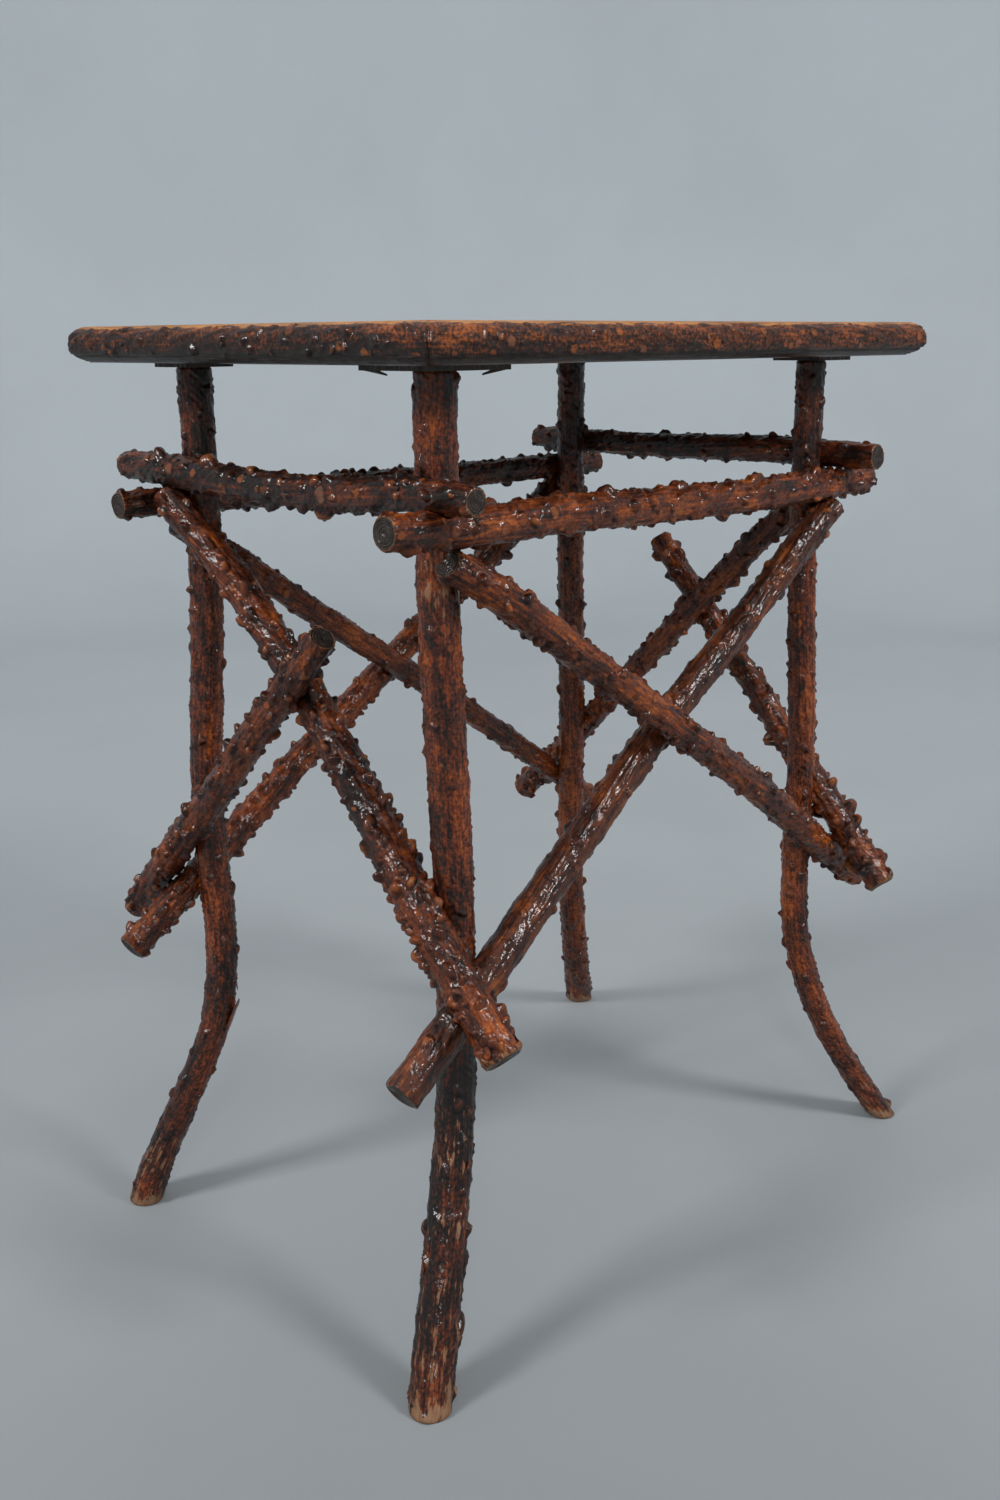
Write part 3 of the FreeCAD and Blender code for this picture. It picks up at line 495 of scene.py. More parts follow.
# What each look of a bark is made of, as weights, and the limits between which it shows
# The shade attribute darkens the tone: painted shade, and painted light where it is below zero
BARK_TONE = {"streaks": 0.36, "patches": 0.38, "flakes": 0.26, "shade": -0.42}
SPOT_COVER = {"knob": 1, "flakes": 0.8}
SPOT_LIMITS = (0.8, 1.3)
SPOT_COVERS = (0, 0.9)
SPOT_BARK_SHARE = 0.35
BARE_WOOD = {"flakes": 0.6, "streaks": 0.4, "worn": 1}
BARE_LIMITS = (0.95, 1.1)
BARE_TONE = {"streaks": 0.5, "patches": 0.5}
YEAR_RINGS = {"from_pith": 3600, "specks": 4}
SINE_LIMITS = (-1, 1)
END_TONE = {"year_rings": 0.5, "flakes": 0.4}
BARK_ROUGH = {"streaks": 0.14, "flakes": 0.14, "bare": 0.3, "sawn": 0.15}
LEAST_ROUGH = 0.36
SAWN_COAT_SHARE = 0.8
BARK_PLAIN = {"Coat Roughness": 0.09, "Specular IOR Level": 0.1}
FINE_RELIEF = {"streaks": 0.35, "flakes": 0.7, "specks": 0.6}
FINE_BUMP = {"Strength": 0.6, "Distance": 0.7 * MM}
VARNISH_RELIEF = {"flakes": 0.5, "pebbles": 0.5}
VARNISH_BUMP = {"Strength": 0.5, "Distance": 0.6 * MM}


def bark_material(name, tones, wear, fibre, coat, grit):
    """Varnished bark: streaks, patches, crumbs, painted shade at the feet of knobs, bare wood where worn or
    sawn.
    """
    material, tree, shader = tree_of(name)
    grain = attribute(tree, "grain", "Vector")
    values = {key: attribute(tree, key) for key in FIELDS}
    for key, look in BARK_NOISES.items():
        values[key] = layer(tree, grain, **{"scale": fibre, **look})
    tone = weighed(tree, values, {**BARK_TONE, "crumbs": grit})
    colour = ramp(tree, math_node(tree, "SUBTRACT", tone, grit / 2), zip(TONE_PLACES, tones))
    spot = mix(tree, SPOT_BARK_SHARE, ramp(tree, values["tint"], SPOT_TONES), colour)
    cover = spread(tree, weighed(tree, values, SPOT_COVER), SPOT_LIMITS, SPOT_COVERS)
    colour = mix(tree, cover, colour, spot)
    # Painted shade at the feet of knobs and round knot scars
    colour = mix(tree, 1, colour, ramp(tree, values["knob"], KNOB_FOOT_PAINTED_SHADE), "MULTIPLY")
    values["bare"] = spread(tree, weighed(tree, values, BARE_WOOD), BARE_LIMITS)
    bare_colour = mix(tree, weighed(tree, values, BARE_TONE), *((*tone, 1) for tone in wear))
    colour = mix(tree, values["bare"], colour, bare_colour)
    flat = vector_node(tree, "MULTIPLY", grain, (1, 1, 0))
    values["from_pith"] = vector_node(tree, "DISTANCE", flat, (0, 0, 0), "Value")
    rings = math_node(tree, "SINE", weighed(tree, values, YEAR_RINGS))
    values["year_rings"] = spread(tree, rings, SINE_LIMITS)
    sawn_colour = ramp(tree, weighed(tree, values, END_TONE), SAWN_TONES)
    feed(tree, shader, {
        "Base Color": mix(tree, values["sawn"], colour, sawn_colour),
        "Roughness": math_node(tree, "ADD", weighed(tree, values, BARK_ROUGH), LEAST_ROUGH),
        "Coat Weight": spread(tree, values["sawn"], WHOLE, (coat, coat * SAWN_COAT_SHARE)),
        "Normal": bump(tree, weighed(tree, values, FINE_RELIEF), FINE_BUMP),
        "Coat Normal": bump(tree, weighed(tree, values, VARNISH_RELIEF), VARNISH_BUMP),
        **BARK_PLAIN,
    })
    return material


bark_materials = {name: bark_material(f"{name}_bark", **look) for name, look in BARKS.items()}


# Branches
def circle_through(flat):
    """The circle through a ring's points, leaving out those of a bore or a seat, or None for no ring."""
    kept = flat
    for _ in range(CIRCLE_TRIES):
        sides = np.column_stack((2 * kept, np.ones(len(kept))))
        found = np.linalg.lstsq(sides, (kept ** 2).sum(axis=1), rcond=None)[0]
        centre = found[:2]
        radius = math.sqrt(max(found[2] + centre @ centre, 0))
        away = np.abs(np.linalg.norm(flat - centre, axis=1) - radius)
        kept = flat[away <= max(np.median(away), SAME_RING)]
    turns = np.sort(np.arctan2(*(kept - centre).T))
    widest_gap = np.diff(np.append(turns, turns[0] + TURN)).max()
    is_ring = (
        len(kept) >= LEAST_RING_POINTS
        and len(kept) > RING_POINTS_SHARE * len(flat)
        and SMALLEST_RADIUS < radius < LARGEST_RADIUS
        and widest_gap < WIDEST_GAP_SHARE * TURN
    )
    return (*centre, radius) if is_ring else None


def branch_axes(points, faces):
    """Three axes for a branch: two across it, and one square to the sawn end that it starts from."""
    chord = np.linalg.svd(points - points.mean(axis=0), full_matrices=False)[2][0]
    lead = chord[2] if abs(chord[2]) > CHORD_TILT else chord[np.argmax(np.abs(chord))]
    chord = chord * np.sign(lead)
    corners = points[faces]
    normals = np.cross(corners[:, 1] - corners[:, 0], corners[:, 2] - corners[:, 0])
    areas = np.linalg.norm(normals, axis=1) + np.finfo(float).tiny
    places = corners.mean(axis=1) @ chord
    low_cap = (places < (points @ chord).min() + CAP_SEARCH) & ((normals @ chord) / areas < -CAP_COSINE)
    chord = -normals[low_cap].sum(axis=0)
    chord /= np.linalg.norm(chord)
    helper = (0, 0, 1) if abs(chord[2]) < CAP_COSINE else (1, 0, 0)
    first = np.cross(helper, chord)
    first /= np.linalg.norm(first)
    return np.array((first, np.cross(chord, first), chord))


def branch_line(name):
    """A branch's rings as CAD drew them: its axes, and each ring's place, centre and radius."""
    points, faces = node_mesh(name)
    axes = branch_axes(points, faces)
    local = points @ axes.T
    steps = np.round(local[:, 2] / SAME_RING).astype(int)
    rings = []
    for step in np.unique(steps):
        flat = np.unique(np.round(local[steps == step][:, :2], ROUND_DIGITS), axis=0)
        if len(flat) < LEAST_RING_POINTS:
            continue
        away = np.linalg.norm(flat - flat.mean(axis=0), axis=1)
        circle = circle_through(flat[away > away.max() / 2])
        if circle and (not rings or step * SAME_RING - rings[-1][0] > LEAST_RING_GAP):
            rings.append((step * SAME_RING, *circle))
    end = local[:, 2].max()
    if end - rings[-1][0] > LEAST_RING_GAP:
        before, last = np.array(rings[-2]), np.array(rings[-1])
        rings.append(last + (last - before) * (end - last[0]) / (last[0] - before[0]))
    return axes, np.array(rings)


def smooth_through(knots, values, places):
    """A smooth curve through values at knots, without steps in its slope."""
    slopes = np.gradient(values, knots)
    span = np.clip(np.searchsorted(knots, places, side="right") - 1, 0, len(knots) - 2)
    width = knots[span + 1] - knots[span]
    share = (places - knots[span]) / width
    rise = values[span + 1] - values[span]
    start, end = slopes[span] * width, slopes[span + 1] * width
    bend = share * (1 - share)
    return values[span] + share * rise + bend * ((1 - share) * (start - rise) - share * (end - rise))


def waves(kind, angles, places, rng):
    """A smooth random relief around and along a branch, from about -1 to 1."""
    turns, lengths = RELIEFS[kind]
    total = np.zeros((len(places), len(angles)))
    for _ in range(WAVES):
        around = rng.integers(turns[0], turns[1] + 1)
        along = TURN / (rng.uniform(*lengths) * MM)
        total += np.cos(around * angles[None, :] + along * places[:, None] + rng.uniform(0, TURN))
    return total / math.sqrt(WAVES)


def bark_skin(look, run, angles, rng):
    """The bark's own relief: ridges, lumps, wrinkles, pebbles and the rings of old leaf joints."""
    skin = sum(look[kind] * MM * waves(kind, angles, run, rng) for kind in ("ridge", "lump", "wrinkle"))
    skin += look["pebble"] * MM * np.maximum(waves("pebble", angles, run, rng) - PEBBLE_START, 0)
    for share in look["joints"]:
        skin += JOINT_SWELL * np.exp(-((run - share * run[-1]) / JOINT_WIDTH) ** 2)[:, None]
    return skin


def no_spots(shape):
    """The fields of a bark without any spots on it."""
    return {key: np.zeros(shape) for key in ("raised", "knob", "tint")}


def knob_places(per_metre, length, rng):
    """Places and turns of knobs that wind round a branch, closer together where there are more of them."""
    spots = []
    place = 0
    turn = rng.uniform(0, TURN)
    while place < length:
        spots.append((place + rng.normal(0, SPOT_DRIFT), turn + rng.normal(0, TURN_DRIFT_SHARE) * TURN))
        place += 1 / np.interp(place, (0, length), per_metre)
        turn += GOLDEN_TURN
    return spots


def knob_size(look, rng):
    """The half width and the height of one knob, more often small than large."""
    share = rng.beta(*SIZE_SKEW)
    return [MM * np.interp(share, WHOLE, look[key]) for key in ("width", "height")]


def raise_knob(spots, along, across, width, height, tints, rng):
    """Adds one blunt uneven knob, where along and across are the distances from its middle."""
    stretch = rng.uniform(*KNOB_STRETCH)
    lobes = rng.integers(*KNOB_LOBES)
    phase = rng.uniform(0, TURN)
    tint = rng.uniform(*tints)
    rows = np.flatnonzero(np.abs(along) < width * stretch * (1 + KNOB_UNEVEN))
    lengthwise = along[rows, None] / stretch
    outline = 1 + KNOB_UNEVEN * np.cos(lobes * np.arctan2(across[None, :], lengthwise) + phase)
    away = np.clip(np.hypot(lengthwise, across[None, :]) / (width * outline), 0, 1)
    form = (1 - away ** KNOB_FLATNESS) ** KNOB_CROWN
    higher = height * form > spots["raised"][rows]
    for key, value in (("raised", height * form), ("knob", form), ("tint", tint)):
        spots[key][rows] = np.where(higher, value, spots[key][rows])


def press_scar(spots, along, across, width, rim, rng):
    """Adds one knot scar: a rim round a flat hollow."""
    tint = rng.uniform(*SCAR_TINTS)
    rows = np.flatnonzero(np.abs(along) < width)
    away = np.clip(np.hypot(along[rows, None], across[None, :]) / width, 0, 1)
    hollow = HOLLOW_DEPTH_SHARE * np.exp(-(away / HOLLOW_SHARE) ** HOLLOW_FLATNESS)
    form = (np.exp(-((away - RIM_PLACE_SHARE) / RIM_WIDTH_SHARE) ** 2) - hollow) * (1 - away ** SCAR_FADE)
    for key, value in (("raised", rim * form), ("knob", 1 - away ** SCAR_COVER), ("tint", tint)):
        spots[key][rows] = np.where(away < 1, value, spots[key][rows])


def branch_spots(name, look, run, angles, radius, rng):
    """The knobs and the knot scars of one branch."""
    length = run[-1]
    spots = no_spots((len(run), len(angles)))

    def across(turn):
        """Distances round the branch from a turn."""
        return radius * ((angles - turn + TURN / 2) % TURN - TURN / 2)

    for place, turn in knob_places(look["knobs"], length, rng):
        raise_knob(spots, run - place, across(turn), *knob_size(look, rng), look["tints"], rng)
    for share, turn_share, height, width in BURLS.get(name, ()):
        sizes = (width * MM, height * MM)
        raise_knob(spots, run - share * length, across(turn_share * TURN), *sizes, look["tints"], rng)
    for share, turn_share, width in SCARS.get(name, ()):
        press_scar(spots, run - share * length, across(turn_share * TURN), width * MM, SCAR_RIM, rng)
    for _ in range(look["scars"]):
        along = run - rng.uniform(0, length)
        around = across(rng.uniform(0, TURN))
        press_scar(spots, along, around, rng.uniform(*SCAR_RADIUS) * MM, SCAR_RIM, rng)
    return spots


def bare_along(look, run):
    """How bare the wood is along a branch."""
    start_wear, end_wear = (MM * part for part in look["wear"])
    worn = WORN_SHARE * (np.exp(-run / start_wear) + np.exp(-run[::-1] / end_wear))
    for share, width, amount in look["bare"]:
        worn += amount * np.exp(-((run / run[-1] - share) / width) ** 2)
    return worn


def sawn_end(rim, reach, centre, angles, outward, run, rng):
    """The points of a sawn end inside its rim, with year rings and a drying check, and their grain."""
    crack_turn = rng.uniform(0, TURN)
    level = rim[:, 2].mean()
    rows = []
    for share in np.linspace(1, 0, CAP_RINGS + 1)[1:-1]:
        ring = END_RING_RELIEF * (math.cos(share * END_RINGS * TURN) - 1)
        off_crack = np.abs((angles - crack_turn + TURN / 2) % TURN - TURN / 2) * share
        crack = END_CHECK_DEPTH * np.exp(-(off_crack / (END_CHECK_WIDTH_SHARE * TURN)) ** 2)
        rise = level + (rim[:, 2] - level) * share + outward * (ring - crack)
        flat_x = centre[0] + share * reach * np.cos(angles)
        flat_y = centre[1] + share * reach * np.sin(angles)
        rows.append(np.column_stack((flat_x, flat_y, rise)))
    rows.append(((*centre, level - outward * END_CHECK_DEPTH),))
    points = np.concatenate(rows)
    grain = points - (*centre, 0)
    grain[:, 2] = run
    return points, grain


def cap_faces(rim, base, outward):
    """Faces from a tube's rim through the rings of its sawn end to the middle."""
    rows = [rim] + [base + row * SEGMENTS for row in range(CAP_RINGS - 1)]
    middle = base + (CAP_RINGS - 1) * SEGMENTS
    faces = []
    for here, there in zip(rows, rows[1:]):
        faces += ring_faces(here, there, SEGMENTS)
    faces += [(rows[-1] + column, rows[-1] + (column + 1) % SEGMENTS, middle) for column in range(SEGMENTS)]
    return faces if outward > 0 else [face[::-1] for face in faces]


def bark_flake(line, root, turn, length, width, lift):
    """A loose flake of bark as a closed thin shell: rooted in the branch, its ragged end standing off."""
    outer, inner = [], []
    for along in np.linspace(0, 1, FLAKE_ROWS):
        for across in np.linspace(-1, 1, FLAKE_COLUMNS):
            place = root + length * along * (1 - FLAKE_RAGGED_SHARE * abs(across))
            middle_x, middle_y, radius = (np.interp(place, line[0], values) for values in line[1:])
            reach = radius - FLAKE_ROOT + (lift + FLAKE_ROOT) * along ** FLAKE_CURL
            taper = 1 - FLAKE_TAPER_SHARE * along ** FLAKE_TAPER_POWER
            angle = turn + across * taper * width / 2 / radius
            for shell, depth in ((outer, 0), (inner, FLAKE_SKIN * (1 - FLAKE_THINNING_SHARE * along))):
                flat = reach - depth
                shell.append((middle_x + flat * math.cos(angle), middle_y + flat * math.sin(angle), place))
    total = len(outer)
    grid = np.arange(total).reshape(FLAKE_ROWS, FLAKE_COLUMNS)
    quads = np.stack((grid[:-1, :-1], grid[:-1, 1:], grid[1:, 1:], grid[1:, :-1]), axis=-1)
    rim = np.concatenate((grid[0], grid[1:, -1], grid[-1, -2::-1], grid[-2:0:-1, 0])).tolist()
    faces = []
    for quad in quads.reshape(-1, 4).tolist():
        faces += [quad, *shifted([quad[::-1]], total)]
    for here, after in zip(rim, rim[1:] + rim[:1]):
        faces.append((after, here, total + here, total + after))
    return np.array(outer + inner), faces


def branch(name, look, seed):
    """One branch: a tube through CAD's rings with bark, knobs, scars and flakes, and sawn ends."""
    rng = np.random.default_rng(seed)
    axes, rings = branch_line(name)
    knots = rings[:, 0]
    places = np.linspace(knots[0], knots[-1], int((knots[-1] - knots[0]) / RING_STEP))
    run = places - places[0]
    angles = np.arange(SEGMENTS) * TURN / SEGMENTS
    cosine, sine = np.cos(angles), np.sin(angles)
    centre_x, centre_y, radius = (smooth_through(knots, rings[:, column], places) for column in (1, 2, 3))
    nominal = radius.mean()
    skin = bark_skin(look, run, angles, rng)
    spots = branch_spots(name, look, run, angles, nominal, rng)

    end_gap = np.minimum(run, run[::-1])[:, None]
    fade = np.clip(end_gap / (2 * END_CHAMFER), 0, 1)
    raised = np.minimum(spots["raised"], END_KNOB_HEIGHT + END_KNOB_SLOPE * end_gap)
    reach = radius[:, None] * CORE_SHARE + (skin + raised) * fade - END_CHAMFER * (1 - fade) ** 2
    lean = KNOB_LEAN_SHARE * raised * fade
    dip = look["saw_dip"] * MM * (1 + waves("saw_dip", angles, run[:2], rng).clip(-1, 1))
    local = np.stack((
        centre_x[:, None] + reach * cosine,
        centre_y[:, None] + reach * sine,
        np.clip(places[:, None] + lean, places[0] + dip[0], places[-1] - dip[1]),
    ), axis=-1)
    grain = np.stack(np.broadcast_arrays(nominal * cosine, nominal * sine, run[:, None]), axis=-1)

    shells, grains = [local.reshape(-1, 3)], [grain.reshape(-1, 3)]
    faces = grid_faces(len(run), SEGMENTS, 0)
    for end, outward in ((0, -1), (len(run) - 1, 1)):
        centre = (centre_x[end], centre_y[end])
        cap, cap_grain = sawn_end(local[end], reach[end], centre, angles, outward, run[end], rng)
        faces += cap_faces(end * SEGMENTS, sum(map(len, shells)), outward)
        shells.append(cap)
        grains.append(cap_grain)
    line = (places, centre_x, centre_y, reach.mean(axis=1))
    for share, turn_share, *sizes in FLAKES.get(name, ()):
        root = places[0] + share * run[-1]
        flake, flake_faces = bark_flake(line, root, turn_share * TURN, *(size * MM for size in sizes))
        faces += shifted(flake_faces, sum(map(len, shells)))
        shells.append(flake)
        grains.append(flake - (centre_x.mean(), centre_y.mean(), places[0]))

    on_bark, low_end, high_end, *on_flakes = map(len, shells)
    sawn = np.repeat((0, 1, 0), (on_bark, low_end + high_end, sum(on_flakes)))
    # How dark each stretch is painted: partly the bark's own tone, partly painted shade and painted light
    shade = np.interp(run / run[-1], *zip(*look["shade"]))
    beyond = np.zeros(len(sawn) - on_bark)
    attributes = {
        "grain": np.concatenate(grains),
        "knob": np.append(spots["knob"], beyond),
        "tint": np.append(spots["tint"], beyond),
        "worn": np.append(np.repeat(bare_along(look, run), SEGMENTS), beyond),
        "shade": np.append(np.repeat(shade, SEGMENTS), beyond),
        "sawn": sawn,
    }
    points = np.concatenate(shells) @ axes
    return build(f"{name}_bark", points, faces, name, bark_materials[look["bark"]], attributes)


for seed, (name, (kind, *row)) in enumerate(BRANCHES.items(), start=1):
    branch(name, {**kind, **dict(zip(BRANCH_COLUMNS, row)), **OWN_LOOKS.get(name, {})}, seed)


# Edging
def edging_profile(depth, height):
    """The half-round profile as rows of (inward, up, its normal's inward and up parts, its share of bark)."""
    curve = EDGING_ROUNDING
    quarter = [(angle, math.sin(angle), math.cos(angle)) for angle in np.linspace(0, TURN / 4, ARC_STEPS)]
    rows = [(inward, 0, 0, -1, 0) for inward in np.linspace(depth, curve, FLAT_STEPS)[:-1]]
    for _, sine, cosine in quarter:
        rows.append((curve * (1 - sine), curve * (1 - cosine), -sine, -cosine, 1))
    rows += [(0, up, -1, 0, 1) for up in np.linspace(curve, height - curve, FLAT_STEPS)[1:-1]]
    for angle, sine, cosine in quarter:
        bark = math.sqrt(cosine) if angle < TURN / 4 else 0
        rows.append((curve * (1 - cosine), height - curve * (1 - sine), -cosine, sine, bark))
    rows += [(inward, height, 0, 1, 0) for inward in np.linspace(curve, depth, FLAT_STEPS)[1:]]
    rows += [(depth, up, 1, 0, 0) for up in np.linspace(height, 0, FLAT_STEPS)[1:-1]]
    return np.array(rows)


def edging_spots(look, places, girth, barked, rng):
    """The knobs and the knot scars of one strip, on the stretch of its girth that has bark."""
    length = places[-1]
    low, high = barked
    spots = no_spots((len(places), len(girth)))
    for _ in range(int(look["knobs"] * length)):
        sizes = knob_size(look, rng)
        along = places - rng.uniform(0, length)
        raise_knob(spots, along, girth - rng.uniform(low, high), *sizes, EDGING_TINTS, rng)
    for _ in range(int(look["scars"] * length)):
        width = rng.uniform(*SCAR_RADIUS) * MM
        along = places - rng.uniform(0, length)
        around = girth - rng.uniform(low + width, high - width)
        press_scar(spots, along, around, width, EDGING_SCAR_RIM, rng)
    return spots


def edging(name, look, seed):
    """A half-round edging strip with bark, knobs, knot scars, a seam above its foot and mitred ends."""
    rng = np.random.default_rng(seed)
    low, high = (np.array(corner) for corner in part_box(name))
    size = high - low
    along = int(np.argmax(size[:2]))
    across = 1 - along
    outward = np.sign(low[across] + high[across])
    outer = high[across] if outward > 0 else low[across]
    profile = edging_profile(size[across], size[2])
    depths, up, normal_in, normal_up, bark = profile.T
    girth = np.concatenate(((0,), np.cumsum(np.hypot(*np.diff(profile[:, :2], axis=0).T))))
    places = np.linspace(0, size[along], int(size[along] / EDGING_STEP))
    angles = girth / girth[-1] * TURN * EDGING_WRAP
    skin = EDGING_LUMP * waves("lump", angles, places, rng)
    skin += EDGING_RIDGE * waves("wrinkle", angles, places, rng)
    barked = girth[bark > BARK_EDGE][[0, -1]]
    spots = edging_spots(look, places, girth, barked, rng)

    in_front = normal_in < -FRONT_COSINE
    in_foot = (up < SEAM_HEIGHT) & in_front
    above_seam = np.clip((up - SEAM_HEIGHT) / SEAM_WIDTH, FOOT_RELIEF_SHARE, 1)
    seam_line = SEAM_HEIGHT + SEAM_WANDER * np.sin(TURN * places / SEAM_WANDER_LENGTH)[:, None]
    seam = SEAM_DEPTH * np.exp(-((up - seam_line) / SEAM_WIDTH) ** 2) * in_front
    ease = MITRE_EASE * np.exp(-(np.minimum(places, places[::-1]) / MITRE_EASE) ** 2)[:, None]
    relief = (skin + spots["raised"]) * (bark * above_seam) - seam
    relief -= (EDGING_SINK + ease) * bark + FOOT_SETBACK * in_foot
    inward = depths + relief * normal_in
    share = (places - size[along] / 2) / size[along]
    points = np.empty((*inward.shape, 3))
    points[..., along] = (low[along] + high[along]) / 2 + share[:, None] * (size[along] - 2 * inward)
    points[..., across] = outer - outward * inward
    points[..., 2] = low[2] + np.clip(up + relief * normal_up, 0, size[2])

    rows, columns = inward.shape
    faces = grid_faces(rows, columns, 0)
    faces.append(tuple(range(columns)))
    faces.append(tuple(range((rows - 1) * columns, rows * columns))[::-1])
    attributes = {
        "grain": np.stack(np.broadcast_arrays(depths, up, places[:, None]), axis=-1).reshape(-1, 3),
        "knob": (spots["knob"] * bark).ravel(),
        "tint": spots["tint"].ravel(),
        "worn": np.tile(np.clip((up - size[2]) / ARRIS_WEAR + 1, 0, 1), rows),
        # Painted shade and painted light: the strip is darker at its foot and lighter at its top, as if lit
        # from above
        "shade": np.tile(np.interp(up, (SEAM_HEIGHT, size[2]), look["shade"]), rows),
        "sawn": np.tile(in_foot, rows),
    }
    points = points.reshape(-1, 3)
    return build(f"{name}_bark", points, faces, name, bark_materials["edging"], attributes)


for seed, (name, row) in enumerate(EDGINGS.items(), start=len(BRANCHES) + 1):
    edging(name, dict(zip(EDGING_COLUMNS, row)), seed)


# Planks and plates
BOARDS = {
    "plank_wood": {
        "tones": ((0.05, 0.018, 0.008), (0.14, 0.055, 0.02), (0.27, 0.12, 0.045)), "rough": 0.34,
    },
    "plate_wood": {
        "tones": ((0.008, 0.006, 0.005), (0.025, 0.016, 0.012), (0.06, 0.038, 0.026)), "rough": 0.5,
    },
}
BOARD_NOISES = {
    "bands": {"stretch": (1, 1, 0.05), "scale": 110, "detail": 5, "rough": 0.6},
    "pores": {"stretch": (1, 1, 0.04), "scale": 900, "detail": 4, "rough": 0.7},
    "stain": {"scale": 12, "detail": 4, "rough": 0.6},
}
BOARD_TONE = {"bands": 0.5, "pores": 0.34, "stain": 0.24}
BOARD_TONE_PLACES = (0.38, 0.52, 0.68)
PORE_LIMITS = (0.3, 0.7)
PORE_ROUGH = 0.18
BOARD_PLAIN = {"Coat Weight": 0.25, "Coat Roughness": 0.3, "Specular IOR Level": 0.25}
BOARD_BUMP = {"Strength": 0.3, "Distance": 0.3 * MM}


def board_material(name, tones, rough):
    """Stained and varnished board: bands and pores along the grain."""
    material, tree, shader = tree_of(name)
    grain = attribute(tree, "grain", "Vector")
    values = {key: layer(tree, grain, **look) for key, look in BOARD_NOISES.items()}
    relief = bump(tree, values["pores"], BOARD_BUMP)
    feed(tree, shader, {
        "Base Color": ramp(tree, weighed(tree, values, BOARD_TONE), zip(BOARD_TONE_PLACES, tones)),
        "Roughness": spread(tree, values["pores"], PORE_LIMITS, (rough, rough + PORE_ROUGH)),
        "Normal": relief,
        "Coat Normal": relief,
        **BOARD_PLAIN,
    })
    return material


board_materials = {name: board_material(name, **look) for name, look in BOARDS.items()}


def plank(name, number):
    """A board with eased edges and the faint waves of a hand plane on its upper face."""
    low, high = (Vector(corner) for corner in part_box(name))
    size = high - low
    form = bmesh.new()
    bmesh.ops.create_cube(form, size=1)
    bmesh.ops.scale(form, vec=size, verts=form.verts)
    bmesh.ops.translate(form, vec=(low + high) / 2, verts=form.verts)
    bmesh.ops.bevel(form, geom=form.edges[:], offset=PLANK_EDGE, segments=PLANK_EDGE_STEPS, affect="EDGES",
                    profile=PLANK_EDGE_PROFILE)
    long_edges = [edge for edge in form.edges if abs(edge.verts[0].co.x - edge.verts[1].co.x) > size.x / 2]
    bmesh.ops.subdivide_edges(form, edges=long_edges, cuts=PLANK_CUTS, use_grid_fill=True)
    for corner in form.verts:
        if corner.co.z > high.z - PLANK_EDGE / 4:
            phase = TURN * corner.co.x / PLANE_LENGTH + corner.co.y / PLANE_WAVE
            corner.co.z -= PLANE_WAVE * (1 + math.sin(phase))
    bmesh.ops.recalc_face_normals(form, faces=form.faces)
    points = np.array([corner.co[:] for corner in form.verts])
    faces = [tuple(corner.index for corner in face.verts) for face in form.faces]
    form.free()
    attributes = {"grain": points[:, (1, 2, 0)] + number * GRAIN_SHIFT}
    slot = "plank_wood"
    return build(f"{name}_board", points, faces, name, board_materials[slot], attributes)


def splinter(points, middle, half, signs, bottom):
    """Adds the corners of one hanging sliver to a plate's points and gives back its faces."""
    corner = middle[:2] + half[:2] * signs * SPLINTER_ROOT_SHARE
    inwards = -np.array(signs) / math.sqrt(2)
    aside = np.array((-inwards[1], inwards[0]))
    base = len(points)
    for along, across, drop in SPLINTER_SHARES:
        place = corner + inwards * along * SPLINTER_LENGTH + aside * across * SPLINTER_WIDTH / 2
        level = bottom - drop * SPLINTER_DROP
        points += [(*place, level), (*place, level + SPLINTER_SKIN)]
    lower = list(range(base, len(points), 2))
    upper = [number + 1 for number in lower]
    faces = [tuple(lower), tuple(upper[::-1])]
    for here, after in zip(lower, lower[1:] + lower[:1]):
        faces.append((here, here + 1, after + 1, after))
    return faces


def plate(name, seed):
    """A thin split-wood plate with a ragged edge, and on one of them splinters that hang from its corners."""
    rng = np.random.default_rng(seed)
    low, high = (np.array(corner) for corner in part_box(name))
    middle, half = (low + high) / 2, (high - low) / 2
    count = int((high[0] - low[0]) / PLATE_STEP)
    steps = np.linspace(-1, 1, count, endpoint=False)
    ones = np.ones(count)
    sides = ((steps, -ones), (ones, steps), (-steps, ones), (-ones, -steps))
    loop = np.concatenate([np.column_stack(side) for side in sides])
    ragged = PLATE_RAGGED * rng.beta(*PLATE_RAGGED_SKEW, len(loop))[:, None]
    outline = middle[:2] + loop * (half[:2] - ragged)
    total = len(outline)
    points = [(*place, level) for level in (low[2], high[2]) for place in outline]
    faces = [tuple(range(total))[::-1], tuple(range(total, 2 * total)), *ring_faces(0, total, total)]
    for signs in SPLINTERS.get(name, ()):
        faces += splinter(points, middle, half, signs, low[2])
    points = np.array(points)
    attributes = {"grain": points[:, (1, 2, 0)]}
    slot = "plate_wood"
    piece = build(f"{name}_wood", points, faces, name, board_materials[slot], attributes)
    piece.data.polygons.foreach_set("use_smooth", [False] * len(piece.data.polygons))
    return piece


for number, name in enumerate(PLANKS):
    plank(name, number)
for seed, name in enumerate(PLATES, start=1):
    plate(name, seed)


# Fasteners
STEELS = {
    "nail_steel": {"tones": ((0.03, 0.025, 0.023), (0.07, 0.05, 0.042), (0.11, 0.055, 0.03)), "rough": 0.4},
    "screw_steel": {"tones": ((0.2, 0.19, 0.18), (0.36, 0.34, 0.32), (0.3, 0.2, 0.14)), "rough": 0.35},
}
RUST_NOISE = {"scale": 700, "detail": 4, "rough": 0.6}
RUST_TONE_PLACES = (0.4, 0.55, 0.7)
RUST_LIMITS = (0.3, 0.7)
RUST_ROUGH = 0.25
STEEL_PLAIN = {"Metallic": 0.8}
STEEL_BUMP = {"Strength": 0.2, "Distance": 0.1 * MM}


